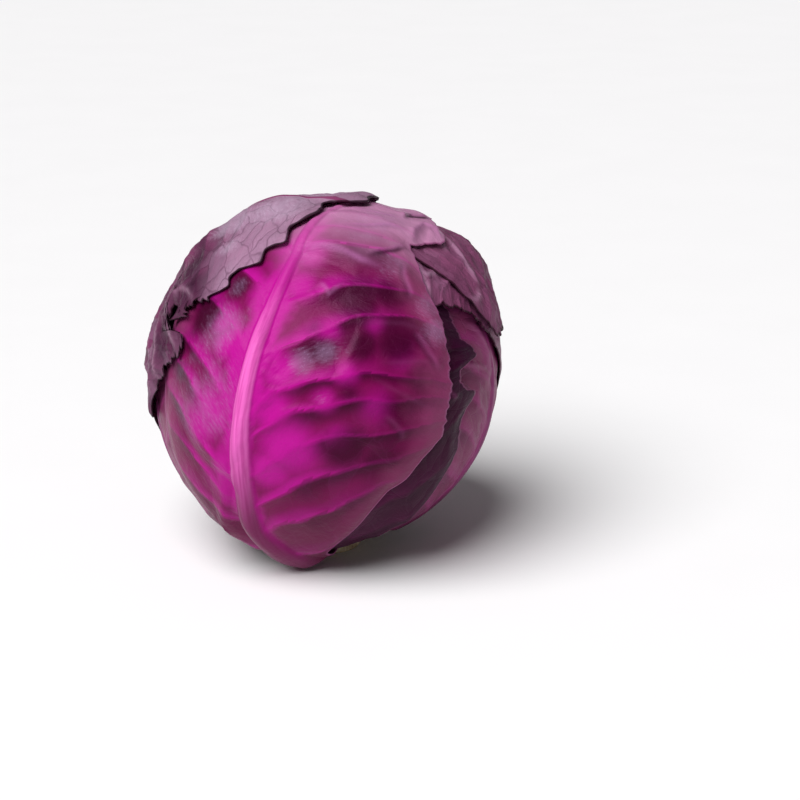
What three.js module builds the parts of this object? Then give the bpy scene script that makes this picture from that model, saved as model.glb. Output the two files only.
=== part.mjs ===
// A red cabbage head, in millimetres, +Z up, standing on the cut face of its stalk.
// The stalk runs up inside the heart, the dense ball of folded inner leaves. Eight wrapper
// leaves clasp the stalk and lie over the heart and over each other, the innermost first.
// Each surface is a distance from the middle of the head, given for every direction, and a
// leaf lies on whatever is already below it, so it rises over the margins that it crosses.

import * as THREE from 'three';

// The head as a whole
const HEAD_MIDDLE_Z = 76;
const HEART_SIDE_RADIUS = 67.2;
const HEART_TOP_RADIUS = 60;
const HEART_BOTTOM_RADIUS = 67.5;
const BASE_DIMPLE = 13.6;
const BASE_DIMPLE_START = 13;
const BASE_DIMPLE_REACH = 27;
const FLOOR_ROOM = 0.8;
const LUMPS = [
  { azimuth: 74, latitude: 48, spread: 32, height: 3.8 },
  { azimuth: 102, latitude: 38, spread: 22, height: 3.4 },
  { azimuth: 88, latitude: -12, spread: 26, height: 2.2 },
  { azimuth: -74, latitude: -34, spread: 34, height: 3.9 },
  { azimuth: -100, latitude: 36, spread: 20, height: 1.9 },
  { azimuth: -52, latitude: -60, spread: 24, height: 5 },
  { azimuth: 170, latitude: 5, spread: 42, height: 0.9 },
  { azimuth: 20, latitude: -62, spread: 30, height: 1.6 },
  { azimuth: 119, latitude: 56, spread: 9, height: 1.4 },
  { azimuth: 102, latitude: 32, spread: 9, height: 1.5 },
  { azimuth: -57, latitude: -60, spread: 8, height: 1.8 },
  { azimuth: 106, latitude: 42, spread: 11, height: 3.6 },
];

// The stalk
const STALK_RADIUS = 14.5;
const STALK_SHOULDER_Z = 16;
const STALK_TOP_RADIUS = 7;
const STALK_TOP_Z = 84;
const STALK_EDGE = 0.8;
const STALK_SIDES = 32;
const STALK_ROOM = 0.5;
const STALK_TAPER = 1.2;
const STALK_END_SHARE = 0.55;
const STALK_END_DOME = 1;
const CORE_HEIGHTS = [30, 45, 60, 74, STALK_TOP_Z - 3];

// Every leaf
const LAMINA = 1.0;
const MARGIN_THICKNESS = 0.7;
const LAYER_GAP = 1.15;
const BASE_GAP = 0.5;
const RAMP_WIDTH = 10;
const RAMP_START = 6;
const RIB_RAMP = 14;
const RIB_FLARE = 3;
const RIB_FLARE_REACH = 0.22;
const HOOK_REACH = 0.17;
const VEIN_SWEEP = 38;
const VEIN_REACH = 35;
const VEIN_HEIGHT = 0.7;
const VEIN_HALF_LENGTH = 0.022;
const MARGIN_TAPER = 7;
const TIP_TAPER = 0.06;
const RIB_ROUNDNESS = 0.75;

// A leaf that lies over a rib or a vein meets it as a wide, soft swelling of these shares.
const RIB_UNDER_LEAF = 1.1;
const RIB_UNDER_LEAF_WIDTH = 0.7;
const VEIN_UNDER_LEAF = 0.8;

// Each leaf's grid of points: shares of the blade beside the midrib, and of the midrib itself
const SIDE_COLUMNS = [0.14, 0.3, 0.48, 0.66, 0.83, 1];
const RIB_COLUMNS = [0.55, 1];

const AROUND = [[-1, -1], [-1, 0], [-1, 1], [0, -1], [0, 1], [1, -1], [1, 0], [1, 1]];

const radians = THREE.MathUtils.degToRad;
const degrees = THREE.MathUtils.radToDeg;
const clamp = THREE.MathUtils.clamp;

// The leaves from the innermost to the outermost. Angles are in degrees seen from the middle
// of the head. A leaf's length runs from base to tip as an angle from straight down, and its
// margins are half widths at shares of that length. Lifts stand a margin off what is below.
const PLAIN_VEINS = [0.13, 0.22, 0.31, 0.4, 0.49, 0.58, 0.67, 0.76, 0.86];
const LEAVES = [
  {
    name: 'wrapper_leaf_back', azimuth: 203, lean: -3, base: 16, tip: 166,
    left: [[0, 8], [0.06, 10], [0.14, 34], [0.3, 56], [0.5, 60], [0.7, 54], [0.87, 40], [1, 16]],
    right: [[0, 8], [0.06, 10], [0.15, 36], [0.3, 58], [0.5, 58], [0.7, 50], [0.87, 38], [1, 16]],
    rib: { height: 2.0, width: 3.6 }, veins: PLAIN_VEINS, teeth: 1.6, lifts: [],
  },
  {
    name: 'wrapper_leaf_right', azimuth: 77, lean: 2, base: 16, tip: 162,
    left: [[0, 8], [0.06, 10], [0.14, 32], [0.3, 54], [0.5, 58], [0.7, 54], [0.87, 38], [1, 16]],
    right: [[0, 8], [0.06, 10], [0.14, 34], [0.3, 56], [0.5, 60], [0.7, 52], [0.87, 38], [1, 16]],
    rib: { height: 2.4, width: 3.4 }, veins: PLAIN_VEINS, teeth: 1.6, lifts: [],
  },
  {
    name: 'wrapper_leaf_left', azimuth: -82, lean: -2, base: 16, tip: 160,
    left: [[0, 8], [0.06, 10], [0.14, 30], [0.3, 50], [0.5, 54], [0.7, 50], [0.87, 36], [1, 16]],
    right: [[0, 8], [0.06, 10], [0.14, 32], [0.3, 50], [0.5, 52], [0.7, 48], [0.87, 36], [1, 16]],
    rib: { height: 2.0, width: 3.4 }, veins: PLAIN_VEINS, teeth: 1.6, lifts: [],
  },
  {
    name: 'wrapper_leaf_under_front', azimuth: 8, lean: 0, base: 15.5, tip: 158,
    left: [[0, 8], [0.06, 10], [0.14, 26], [0.3, 42], [0.5, 46], [0.7, 44], [0.87, 34], [1, 16]],
    right: [
      [0, 8], [0.06, 10], [0.12, 26], [0.22, 42], [0.3, 44], [0.36, 50], [0.4, 43], [0.47, 41],
      [0.53, 50], [0.58, 47], [0.63, 44], [0.75, 40], [0.87, 32], [1, 16],
    ],
    rib: { height: 1.5, width: 3 }, veins: PLAIN_VEINS, teeth: 1,
    lifts: [{ side: 1, from: 0.3, to: 0.66, height: 1.6 }],
  },
  {
    name: 'wrapper_leaf_right_back', azimuth: 125, lean: -2, base: 15.2, tip: 186,
    left: [
      [0, 8], [0.06, 10], [0.15, 22], [0.28, 31], [0.4, 43], [0.5, 47], [0.62, 49.5], [0.75, 51],
      [0.88, 52.5], [1, 30],
    ],
    right: [[0, 8], [0.06, 10], [0.14, 32], [0.3, 50], [0.5, 54], [0.7, 50], [0.87, 40], [1, 22]],
    rib: { height: 2.2, width: 3.6 }, veins: PLAIN_VEINS, teeth: 1.2,
    lifts: [{ side: -1, from: 0.4, to: 0.85, height: 0.4 }],
  },
  {
    name: 'wrapper_leaf_back_right', azimuth: 165, lean: 3, base: 14.8, tip: 199,
    left: [
      [0, 8], [0.05, 10], [0.12, 24], [0.22, 46], [0.34, 64], [0.5, 71], [0.66, 74], [0.8, 76],
      [0.9, 75], [0.95, 71], [0.98, 65], [1, 58],
    ],
    right: [
      [0, 8], [0.05, 10], [0.12, 24], [0.25, 50], [0.42, 62], [0.6, 60], [0.8, 52], [0.92, 44],
      [1, 30],
    ],
    rib: { height: 3.2, width: 4 }, veins: PLAIN_VEINS, teeth: 1.6,
    lifts: [{ side: -1, from: 0.5, to: 0.98, height: 0.3 }],
  },
  {
    name: 'wrapper_leaf_front', azimuth: -24.7, lean: 5.7, base: 14.5, tip: 224, hook: 10,
    left: [
      [0, 8], [0.05, 8.5], [0.1, 13], [0.13, 25], [0.18, 34], [0.25, 39], [0.35, 44], [0.5, 48],
      [0.62, 46], [0.75, 40], [0.88, 30], [1, 16],
    ],
    right: [
      [0, 8], [0.05, 10], [0.1, 32], [0.16, 54], [0.23, 64], [0.33, 63], [0.43, 59.5],
      [0.5, 53.5], [0.56, 47.5], [0.61, 40.5], [0.66, 34], [0.7, 29.5], [0.75, 30.5], [0.79, 34],
      [0.82, 32.8], [0.86, 28], [0.91, 20], [1, 12],
    ],
    rib: { height: 4.8, width: 4.3 },
    veins: [0.08, 0.15, 0.22, 0.31, 0.36, 0.4, 0.465, 0.54, 0.64, 0.68, 0.74, 0.83, 0.91],
    teeth: 0.9,
    lifts: [
      { side: 1, from: 0.12, to: 0.66, height: 2.6 },
      { side: 1, from: 0.7, to: 0.97, height: 0.6 },
    ],
  },
  {
    name: 'wrapper_leaf_back_left', azimuth: -125, lean: 0, base: 14.2, tip: 192,
    left: [
      [0, 8], [0.05, 10], [0.12, 28], [0.24, 50], [0.4, 58], [0.6, 58], [0.78, 52], [0.9, 40],
      [1, 22],
    ],
    right: [
      [0, 8], [0.05, 10], [0.12, 22], [0.2, 33], [0.25, 46], [0.29, 61], [0.42, 63.5],
      [0.54, 66], [0.595, 64.5], [0.612, 48], [0.635, 44.5], [0.68, 49], [0.72, 53],
      [0.77, 53.5], [0.81, 51], [0.85, 50], [0.88, 45], [0.915, 40], [0.94, 34], [0.96, 24],
      [0.98, 15], [1, 6],
    ],
    rib: { height: 4.2, width: 4.2 },
    veins: [
      0.1, 0.18, 0.26, 0.35, 0.44, 0.53, 0.6, 0.69, 0.75, 0.795, 0.847, 0.878, 0.945, 0.967, 0.99,
    ],
    teeth: 2,
    lifts: [{ side: 1, from: 0.45, to: 0.8, height: 0.5 }],
  },
];

// A smooth step from 0 at low to 1 at high.
function smooth(low, high, value) {
  return THREE.MathUtils.smoothstep(value, low, high);
}

// A monotone cubic through the points [at, value], so that a margin never overshoots them.
function monotoneCurve(points) {
  const slopes = points.slice(1).map(([at, value], i) => (value - points[i][1]) / (at - points[i][0]));
  const tangents = points.map((_, i) => {
    if (i === 0) return slopes[0];
    if (i === slopes.length) return slopes[i - 1];
    const [before, after] = [slopes[i - 1], slopes[i]];
    return before * after <= 0 ? 0 : (2 * before * after) / (before + after);
  });
  return (at) => {
    const x = clamp(at, points[0][0], points.at(-1)[0]);
    const i = Math.max(0, points.findIndex((point, k) => k > 0 && x <= point[0]) - 1);
    const width = points[i + 1][0] - points[i][0];
    const t = (x - points[i][0]) / width;
    return (
      points[i][1] * (1 + 2 * t) * (1 - t) ** 2 +
      tangents[i] * width * t * (1 - t) ** 2 +
      points[i + 1][1] * t * t * (3 - 2 * t) +
      tangents[i + 1] * width * t * t * (t - 1)
    );
  };
}

// The direction at an azimuth from the front, towards the right, and a latitude.
function direction(azimuth, latitude) {
  const [turn, rise] = [radians(azimuth), radians(latitude)];
  return new THREE.Vector3(
    Math.cos(rise) * Math.sin(turn),
    -Math.cos(rise) * Math.cos(turn),
    Math.sin(rise),
  );
}

// How far the heart's surface is from the middle of the head.
function heartRadius(towards) {
  const polar = towards.z > 0 ? HEART_TOP_RADIUS : HEART_BOTTOM_RADIUS;
  const across = Math.hypot(towards.x, towards.y) / HEART_SIDE_RADIUS;
  const fromBase = degrees(Math.acos(clamp(-towards.z, -1, 1)));
  let radius = 1 / Math.hypot(across, towards.z / polar);
  radius -= BASE_DIMPLE * (1 - smooth(BASE_DIMPLE_START, BASE_DIMPLE_REACH, fromBase));
  for (const lump of LUMPS) {
    const angle = degrees(towards.angleTo(direction(lump.azimuth, lump.latitude)));
    radius += lump.height * Math.exp(-((angle / lump.spread) ** 2));
  }
  return radius;
}

// A leaf wrapped round the head. u runs from its base to its tip along the midrib, and veins
// leave the midrib along lines of equal u, which sweep up towards the margins. Its side angle
// is measured from the midrib, negative on the left as seen from outside.
class Leaf {
  constructor(spec) {
    Object.assign(this, spec);
    const turn = radians(this.azimuth);
    const tilt = radians(this.lean);
    const side = new THREE.Vector3(Math.cos(turn), Math.sin(turn), 0);
    const down = new THREE.Vector3(0, 0, -1);
    this.outward = new THREE.Vector3(Math.sin(turn), -Math.cos(turn), 0);
    this.down = down.clone().multiplyScalar(Math.cos(tilt)).addScaledVector(side, -Math.sin(tilt));
    this.side = side.clone().multiplyScalar(Math.cos(tilt)).addScaledVector(down, Math.sin(tilt));
    this.leftMargin = monotoneCurve(this.left);
    this.rightMargin = monotoneCurve(this.right);
  }

  // How far the line of equal u has climbed at a side angle.
  sweep(u, sideAngle) {
    const share = clamp(u, 0, 1);
    return VEIN_SWEEP * (1 - Math.exp(-Math.abs(sideAngle) / VEIN_REACH)) * 6.75 * share * (1 - share) ** 2;
  }

  // How far the leaf's base turns to the right on its way to the stalk.
  hooked(u) {
    return (this.hook ?? 0) * (1 - smooth(0, HOOK_REACH, u));
  }

  // The margin's side angle, with a tooth where each vein ends.
  margin(u, side) {
    const width = side < 0 ? this.leftMargin(u) : this.rightMargin(u);
    const nearest = Math.min(...this.veins.map((vein) => Math.abs(u - vein)));
    const spacing = 1 / this.veins.length;
    const tooth = Math.max(0, 1 - (2.4 * nearest) / spacing);
    return width + this.teeth * (tooth - 0.4) * smooth(0.1, 0.25, u);
  }

  towards(u, sideAngle) {
    const along = radians(this.base + (this.tip - this.base) * u + this.sweep(u, sideAngle));
    const across = radians(sideAngle + this.hooked(u));
    return new THREE.Vector3()
      .addScaledVector(this.down, Math.cos(across) * Math.cos(along))
      .addScaledVector(this.outward, Math.cos(across) * Math.sin(along))
      .addScaledVector(this.side, Math.sin(across));
  }

  // The leaf's own u and side angle in a direction. u is found by halving its range.
  locate(towards) {
    const across = degrees(Math.asin(clamp(towards.dot(this.side), -1, 1)));
    let along = degrees(Math.atan2(towards.dot(this.outward), towards.dot(this.down)));
    if (along < -90) along += 360;
    let [low, high] = [-0.6, 1.6];
    for (let i = 0; i < 16; i += 1) {
      const u = (low + high) / 2;
      const climbed = this.sweep(u, across - this.hooked(u));
      const short = this.base + (this.tip - this.base) * u + climbed < along;
      [low, high] = short ? [u, high] : [low, u];
    }
    const u = (low + high) / 2;
    return { u, sideAngle: across - this.hooked(u) };
  }

  ribWidth(u) {
    const flare = RIB_FLARE * (1 - smooth(0, RIB_FLARE_REACH, u));
    return this.rib.width * (0.28 + 0.72 * (1 - clamp(u, 0, 1)) ** 1.3) + flare;
  }

  ribHeight(u) {
    return this.rib.height * (0.1 + 0.9 * (1 - clamp(u, 0, 1)) ** 1.5);
  }

  // How far the leaf stands off what is below it, beyond the usual gap.
  lift(u, sideAngle) {
    let height = BASE_GAP * (1 - smooth(0.08, 0.3, u));
    for (const { side, from, to, height: most } of this.lifts) {
      const share = (side * sideAngle) / this.margin(u, side);
      const middle = (from + to) / 2;
      const along = 1 - Math.min(1, Math.abs((u - middle) / (to - middle)));
      height += most * smooth(0.55, 1, share) * smooth(0, 0.6, along);
    }
    return height;
  }

  thickness(u, sideAngle) {
    const edge = this.margin(u, sideAngle) - Math.abs(sideAngle);
    const inside = smooth(0, MARGIN_TAPER, edge) * smooth(0, TIP_TAPER, 1 - u);
    const rib = Math.max(0, 1 - (sideAngle / this.ribWidth(u)) ** 2) ** RIB_ROUNDNESS;
    const fromVein = Math.min(...this.veins.map((vein) => Math.abs(u - vein)));
    const vein = Math.max(0, 1 - fromVein / VEIN_HALF_LENGTH) * smooth(0.03, 0.1, u);
    return (
      MARGIN_THICKNESS +
      (LAMINA - MARGIN_THICKNESS) * inside +
      this.ribHeight(u) * rib +
      VEIN_HEIGHT * vein * inside * (1 - rib)
    );
  }

  // The radius of the laid inner face at the leaf's own coordinates, between its grid's points.
  laidRadius(u, sideAngle) {
    const columns = this.columns(clamp(u, 0, 1));
    const [i, along] = placeIn(this.rows(), u);
    const [j, across] = placeIn(columns, sideAngle);
    const between = (row) => {
      const start = row * columns.length + j;
      return THREE.MathUtils.lerp(this.laid[start], this.laid[start + 1], across);
    };
    return THREE.MathUtils.lerp(between(i), between(i + 1), along);
  }

  // The height in a direction once this leaf lies on what is below: its own back over its
  // blade, and a ramp beside it. Ribs and veins count as wide, soft swellings.
  coverRadius(towards, below) {
    const { u, sideAngle } = this.locate(towards);
    const within = clamp(u, 0, 1);
    const edge = this.margin(within, sideAngle) - Math.abs(sideAngle);
    const length = this.tip - this.base;
    const cover = (inside) => smooth(-RAMP_START - RAMP_WIDTH, -RAMP_START, inside);
    const share = cover(edge) * cover(u * length) * cover((1 - u) * length);
    if (share === 0) return below;
    const ribEdge = this.ribWidth(within) * RIB_UNDER_LEAF_WIDTH;
    const beside = smooth(ribEdge, ribEdge + RIB_RAMP, Math.abs(sideAngle));
    const rib = RIB_UNDER_LEAF * this.ribHeight(within) * (1 - beside);
    const back = this.laidRadius(u, sideAngle) + LAMINA + VEIN_UNDER_LEAF * VEIN_HEIGHT + rib;
    return below + share * Math.max(0, back - below);
  }

  // The rows at each vein and half-way between, and the columns, as side angles at a row.
  rows() {
    const marks = [0, 0.035, ...this.veins, 1];
    return marks.flatMap((mark, i) => (i < 2 ? [mark] : [(mark + marks[i - 1]) / 2, mark]));
  }

  columns(u) {
    const rib = this.ribWidth(u);
    const half = (side) => {
      const room = this.margin(u, side);
      const foot = Math.min(rib, room * 0.7);
      return [...RIB_COLUMNS.map((x) => x * foot), ...SIDE_COLUMNS.map((x) => foot + (room - foot) * x)];
    };
    return [...half(-1).map((x) => -x).reverse(), 0, ...half(1)];
  }

  // How far what is below bulges above the straight lines from a point to those around it.
  bulge(u, sideAngle, rowStep, columnStep, layersBelow) {
    const below = (share, a, b) => (
      surfaceBelow(this.towards(u + share * a * rowStep, sideAngle + share * b * columnStep), layersBelow)
    );
    const here = below(0, 0, 0);
    const bulges = AROUND.map(([a, b]) => below(0.5, a, b) - (here + below(1, a, b)) / 2);
    return Math.max(0, ...bulges);
  }

  // Lays the leaf on the layers below and gives its shell.
  lay(layersBelow) {
    const points = [];
    const rows = this.rows();
    rows.forEach((u, i) => {
      const columns = this.columns(u);
      columns.forEach((sideAngle, j) => {
        const towards = this.towards(u, sideAngle);
        const below = surfaceBelow(towards, layersBelow)
          + this.bulge(u, sideAngle, widerStep(rows, i), widerStep(columns, j), layersBelow);
        const low = below + LAYER_GAP + this.lift(u, sideAngle);
        const high = Math.min(low + this.thickness(u, sideAngle), floorReach(towards));
        points.push({ towards, low, high });
      });
    });
    this.laid = points.map((point) => point.low);
    const face = (side) => points.map((point) => point.towards.clone().multiplyScalar(point[side]));
    return shell(face('high'), face('low'), this.columns(0).length);
  }
}

// The index and the share of the step in an ascending list where a value falls.
function placeIn(values, value) {
  const i = clamp(values.findIndex((x) => x > value) - 1, -1, values.length - 2);
  const index = i < 0 ? (value < values[0] ? 0 : values.length - 2) : i;
  const share = (value - values[index]) / (values[index + 1] - values[index]);
  return [index, clamp(share, 0, 1)];
}

// The wider of the steps on either side of one of an ascending list of values.
function widerStep(values, i) {
  return Math.max(values[i] - (values[i - 1] ?? values[i]), (values[i + 1] ?? values[i]) - values[i]);
}

// How far a leaf may reach in a direction and still clear the floor.
function floorReach(towards) {
  return (HEAD_MIDDLE_Z - FLOOR_ROOM) / Math.max(-towards.z, 0.2);
}

// How far the heart and the leaves laid on it reach from the middle of the head.
function surfaceBelow(towards, layers) {
  return layers.reduce((below, leaf) => leaf.coverRadius(towards, below), heartRadius(towards));
}

// A closed shell between two grids of points with the same rows, split alike on both faces.
function shell(outer, inner, perRow) {
  const rows = outer.length / perRow;
  const offset = outer.length;
  const faces = [];
  const quad = (a, b, c, d) => faces.push(a, b, c, a, c, d);
  for (let i = 0; i < rows - 1; i += 1) {
    for (let j = 0; j < perRow - 1; j += 1) {
      const corner = i * perRow + j;
      const [a, b, c, d] = [corner, corner + 1, corner + perRow + 1, corner + perRow];
      quad(a, b, c, d);
      faces.push(a + offset, c + offset, b + offset, a + offset, d + offset, c + offset);
    }
  }
  for (let i = 0; i < rows - 1; i += 1) {
    const [low, high] = [i * perRow, (i + 1) * perRow];
    quad(low, high, high + offset, low + offset);
    const [lowEnd, highEnd] = [low + perRow - 1, high + perRow - 1];
    quad(highEnd, lowEnd, lowEnd + offset, highEnd + offset);
  }
  for (let j = 0; j < perRow - 1; j += 1) {
    quad(j + 1, j, j + offset, j + 1 + offset);
    const last = (rows - 1) * perRow + j;
    quad(last, last + 1, last + 1 + offset, last + offset);
  }
  return facesOutward([...outer, ...inner], faces);
}

// An indexed geometry whose faces are turned round if they enclose a negative volume.
function facesOutward(points, faces) {
  const position = new Float32Array(points.flatMap((point) => [point.x, point.y, point.z]));
  let volume = 0;
  for (let i = 0; i < faces.length; i += 3) {
    const [a, b, c] = [points[faces[i]], points[faces[i + 1]], points[faces[i + 2]]];
    volume += a.dot(new THREE.Vector3().crossVectors(b, c));
  }
  const turned = faces.map((_, i) => (volume > 0 ? faces[i] : faces[i - (i % 3) + 2 - (i % 3)]));
  const geometry = new THREE.BufferGeometry();
  geometry.setAttribute('position', new THREE.BufferAttribute(position, 3));
  geometry.setIndex(turned);
  geometry.computeVertexNormals();
  return geometry;
}

// The stalk's radius at a height, from its cut face up into the heart.
function stalkRadius(z) {
  const share = clamp((z - STALK_SHOULDER_Z) / (STALK_TOP_Z - STALK_SHOULDER_Z), 0, 1);
  return STALK_RADIUS + (STALK_TOP_RADIUS - STALK_RADIUS) * share ** STALK_TAPER;
}

function stalkGeometry() {
  const heights = [STALK_EDGE, 5, STALK_SHOULDER_Z, ...CORE_HEIGHTS];
  const profile = [
    new THREE.Vector2(0, 0),
    new THREE.Vector2(STALK_RADIUS - STALK_EDGE, 0),
    ...heights.map((z) => new THREE.Vector2(stalkRadius(z), z)),
    new THREE.Vector2(stalkRadius(STALK_TOP_Z) * STALK_END_SHARE, STALK_TOP_Z),
    new THREE.Vector2(0, STALK_TOP_Z + STALK_END_DOME),
  ];
  return new THREE.LatheGeometry(profile, STALK_SIDES).rotateX(Math.PI / 2);
}

// The heart: an outer face from the crown down to the stalk, and the bore that the stalk fills.
const HEART_SIDES = 40;
const HEART_LATITUDES = [78, 66, 54, 42, 30, 18, 6, -6, -18, -30, -42, -54, -65];
const HEART_FOOT_LATITUDE = -74;
const HEART_SINK = 2.6;

// The inner leaves show on the heart as low steps, one above the other round it.
const INNER_LEAF_WIDTH = 62;
const INNER_LEAF_NARROWING = 0.25;
const INNER_LEAF_STEP = 9;
const INNER_RIB_WIDTH = 6;
const INNER_LEAVES = [
  { azimuth: 40, height: 1.2 },
  { azimuth: 178, height: 1 },
  { azimuth: -44, height: 1.1 },
];

function foldedHeartRadius(azimuth, latitude) {
  const towards = direction(azimuth, latitude);
  let step = 0;
  for (const leaf of INNER_LEAVES) {
    const away = Math.abs(THREE.MathUtils.euclideanModulo(azimuth - leaf.azimuth + 180, 360) - 180);
    const width = INNER_LEAF_WIDTH - latitude * INNER_LEAF_NARROWING;
    const inside = 1 - smooth(width - INNER_LEAF_STEP, width + INNER_LEAF_STEP, away);
    step += leaf.height * inside * (1 - smooth(0, 80, -latitude));
    const rib = Math.exp(-((away / INNER_RIB_WIDTH) ** 2)) * (1 - smooth(20, 70, latitude));
    step += 0.5 * leaf.height * rib;
  }
  return heartRadius(towards) - HEART_SINK + step;
}

function heartGeometry() {
  const middle = new THREE.Vector3(0, 0, HEAD_MIDDLE_Z);
  const points = [direction(0, 90).multiplyScalar(foldedHeartRadius(0, 90)).add(middle)];
  const ring = (radiusAt) => {
    for (let k = 0; k < HEART_SIDES; k += 1) points.push(radiusAt((360 * k) / HEART_SIDES));
  };
  for (const latitude of [...HEART_LATITUDES, HEART_FOOT_LATITUDE]) {
    const out = (azimuth) => foldedHeartRadius(azimuth, latitude);
    ring((azimuth) => direction(azimuth, latitude).multiplyScalar(out(azimuth)).add(middle));
  }
  const boreHeights = [STALK_SHOULDER_Z + 2, ...CORE_HEIGHTS];
  for (const z of boreHeights) {
    ring((azimuth) => direction(azimuth, 0).multiplyScalar(stalkRadius(z) + STALK_ROOM).setZ(z));
  }
  const endRadius = stalkRadius(STALK_TOP_Z) * STALK_END_SHARE + STALK_ROOM;
  ring((azimuth) => direction(azimuth, 0).multiplyScalar(endRadius).setZ(STALK_TOP_Z + STALK_ROOM));
  points.push(new THREE.Vector3(0, 0, STALK_TOP_Z + STALK_END_DOME + STALK_ROOM * 2));
  const faces = [];
  const rings = HEART_LATITUDES.length + 2 + boreHeights.length;
  const at = (ringIndex, k) => 1 + ringIndex * HEART_SIDES + (k % HEART_SIDES);
  for (let k = 0; k < HEART_SIDES; k += 1) {
    faces.push(0, at(0, k), at(0, k + 1));
    for (let i = 0; i < rings - 1; i += 1) {
      faces.push(at(i, k), at(i + 1, k), at(i + 1, k + 1), at(i, k), at(i + 1, k + 1), at(i, k + 1));
    }
    faces.push(at(rings - 1, k), points.length - 1, at(rings - 1, k + 1));
  }
  return facesOutward(points, faces);
}

// Finishes
const FRONT_PURPLE = new THREE.MeshStandardMaterial({ color: 0x9c2a86, roughness: 0.42, metalness: 0 });
const OUTER_PURPLE = new THREE.MeshStandardMaterial({ color: 0x7a4a78, roughness: 0.55, metalness: 0 });
const DEEP_PURPLE = new THREE.MeshStandardMaterial({ color: 0x6c2560, roughness: 0.48, metalness: 0 });
const INNER_PURPLE = new THREE.MeshStandardMaterial({ color: 0x86407c, roughness: 0.5, metalness: 0 });
const CREAM = new THREE.MeshStandardMaterial({ color: 0xe9dcc0, roughness: 0.6, metalness: 0 });
const LEAF_FINISH = {
  wrapper_leaf_front: FRONT_PURPLE,
  wrapper_leaf_back_left: OUTER_PURPLE,
  wrapper_leaf_back_right: OUTER_PURPLE,
};

function piece(name, geometry, material) {
  const mesh = new THREE.Mesh(geometry, material);
  mesh.name = name;
  return mesh;
}

const cabbage = new THREE.Group();
cabbage.add(piece('stalk', stalkGeometry(), CREAM));
cabbage.add(piece('heart', heartGeometry(), INNER_PURPLE));

const leaves = new THREE.Group();
leaves.position.z = HEAD_MIDDLE_Z;
const laid = [];
for (const spec of LEAVES) {
  const leaf = new Leaf(spec);
  leaves.add(piece(leaf.name, leaf.lay(laid), LEAF_FINISH[leaf.name] ?? DEEP_PURPLE));
  laid.push(leaf);
}
cabbage.add(leaves);

export default cabbage;
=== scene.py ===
"""Dresses a red cabbage head: fine leaves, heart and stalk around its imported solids.

Every surface is a distance from the middle of the head, given for every direction. The leaves
are laid from the innermost to the outermost, and each one rests on whatever is already there.
Lengths are in millimetres and angles in degrees until a mesh is made, which is in metres.
"""

import logging
import math
from dataclasses import dataclass
from enum import Enum

import bpy
import numpy as np
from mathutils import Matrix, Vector


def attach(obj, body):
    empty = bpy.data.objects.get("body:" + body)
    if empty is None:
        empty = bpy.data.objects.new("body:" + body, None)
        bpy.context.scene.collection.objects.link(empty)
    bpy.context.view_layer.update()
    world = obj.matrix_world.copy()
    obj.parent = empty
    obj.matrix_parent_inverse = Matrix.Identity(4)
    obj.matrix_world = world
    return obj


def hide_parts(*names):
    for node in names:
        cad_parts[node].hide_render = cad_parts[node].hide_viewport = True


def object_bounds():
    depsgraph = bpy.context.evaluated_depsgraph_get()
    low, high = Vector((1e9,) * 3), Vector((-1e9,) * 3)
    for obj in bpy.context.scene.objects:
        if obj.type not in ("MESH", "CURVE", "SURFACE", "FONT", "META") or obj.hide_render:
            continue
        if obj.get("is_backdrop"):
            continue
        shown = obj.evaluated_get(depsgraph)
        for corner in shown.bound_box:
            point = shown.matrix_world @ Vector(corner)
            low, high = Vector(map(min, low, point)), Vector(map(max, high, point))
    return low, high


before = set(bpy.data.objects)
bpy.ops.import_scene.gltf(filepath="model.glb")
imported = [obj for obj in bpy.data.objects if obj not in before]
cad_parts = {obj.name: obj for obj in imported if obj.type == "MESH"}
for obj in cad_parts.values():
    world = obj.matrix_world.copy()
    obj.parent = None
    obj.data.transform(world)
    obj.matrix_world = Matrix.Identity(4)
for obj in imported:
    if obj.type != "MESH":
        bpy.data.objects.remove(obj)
LOG = logging.getLogger("cabbage")

MM = 0.001
BODY = "root"

# The head as a whole
HEAD_MIDDLE_Z = 76.0
HEART_SIDE_RADIUS = 67.2
HEART_TOP_RADIUS = 60.0
HEART_BOTTOM_RADIUS = 67.5
BASE_DIMPLE = 13.6
BASE_DIMPLE_START = 13.0
BASE_DIMPLE_REACH = 27.0

# Every leaf, with its neck's ends in u
LAMINA = 1.0
MARGIN_THICKNESS = 0.6
THIN_MARGIN = 7.0
THIN_END = 0.04
PRESSED_SIDE = 0.86
PRESSED_END = 0.965
NECK = (0.1, 0.25)
TOOTH_SHARPNESS = 2.4
TOOTH_MIDDLE = 0.4
NOTCH_RATES = (97, 163, 271)
LAYER_GAP = 1.15
BASE_GAP = 0.5
FLOOR_ROOM = 0.8
HOOK_REACH = 0.17
RAMP_WIDTH = 14.0
RAMP_START = 6.0
RIB_RAMP = 14.0
RIB_FLARE = 3.0
RIB_FLARE_REACH = 0.22
RIB_TIP_WIDTH = 0.28
RIB_TIP_HEIGHT = 0.1
VEIN_SWEEP = 38.0
VEIN_REACH = 35.0
VEIN_HEIGHT = 0.7
VEIN_WANDER = 0.008
VEIN_FADE = 48.0
VEIN_BEND_MIDDLE = 0.5
VEIN_BEND_REACH = 0.09
PUCKER_CLEARANCE = 2.5

# The patterns of the leaves' skin. The grain and the specks of wax are drawn coarser than they
# are, so that they show in the render
BLOTCH_SIZE = 22.0
CLOUD_SIZE = 40.0
GRAIN_SIZE = 1.3
SPECK_SIZE = 0.55
DENT_SIZE = 4.5
DENT_DEPTH = 0.22
BEND_SIZE = 11.0
BEND = 9.0

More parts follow.
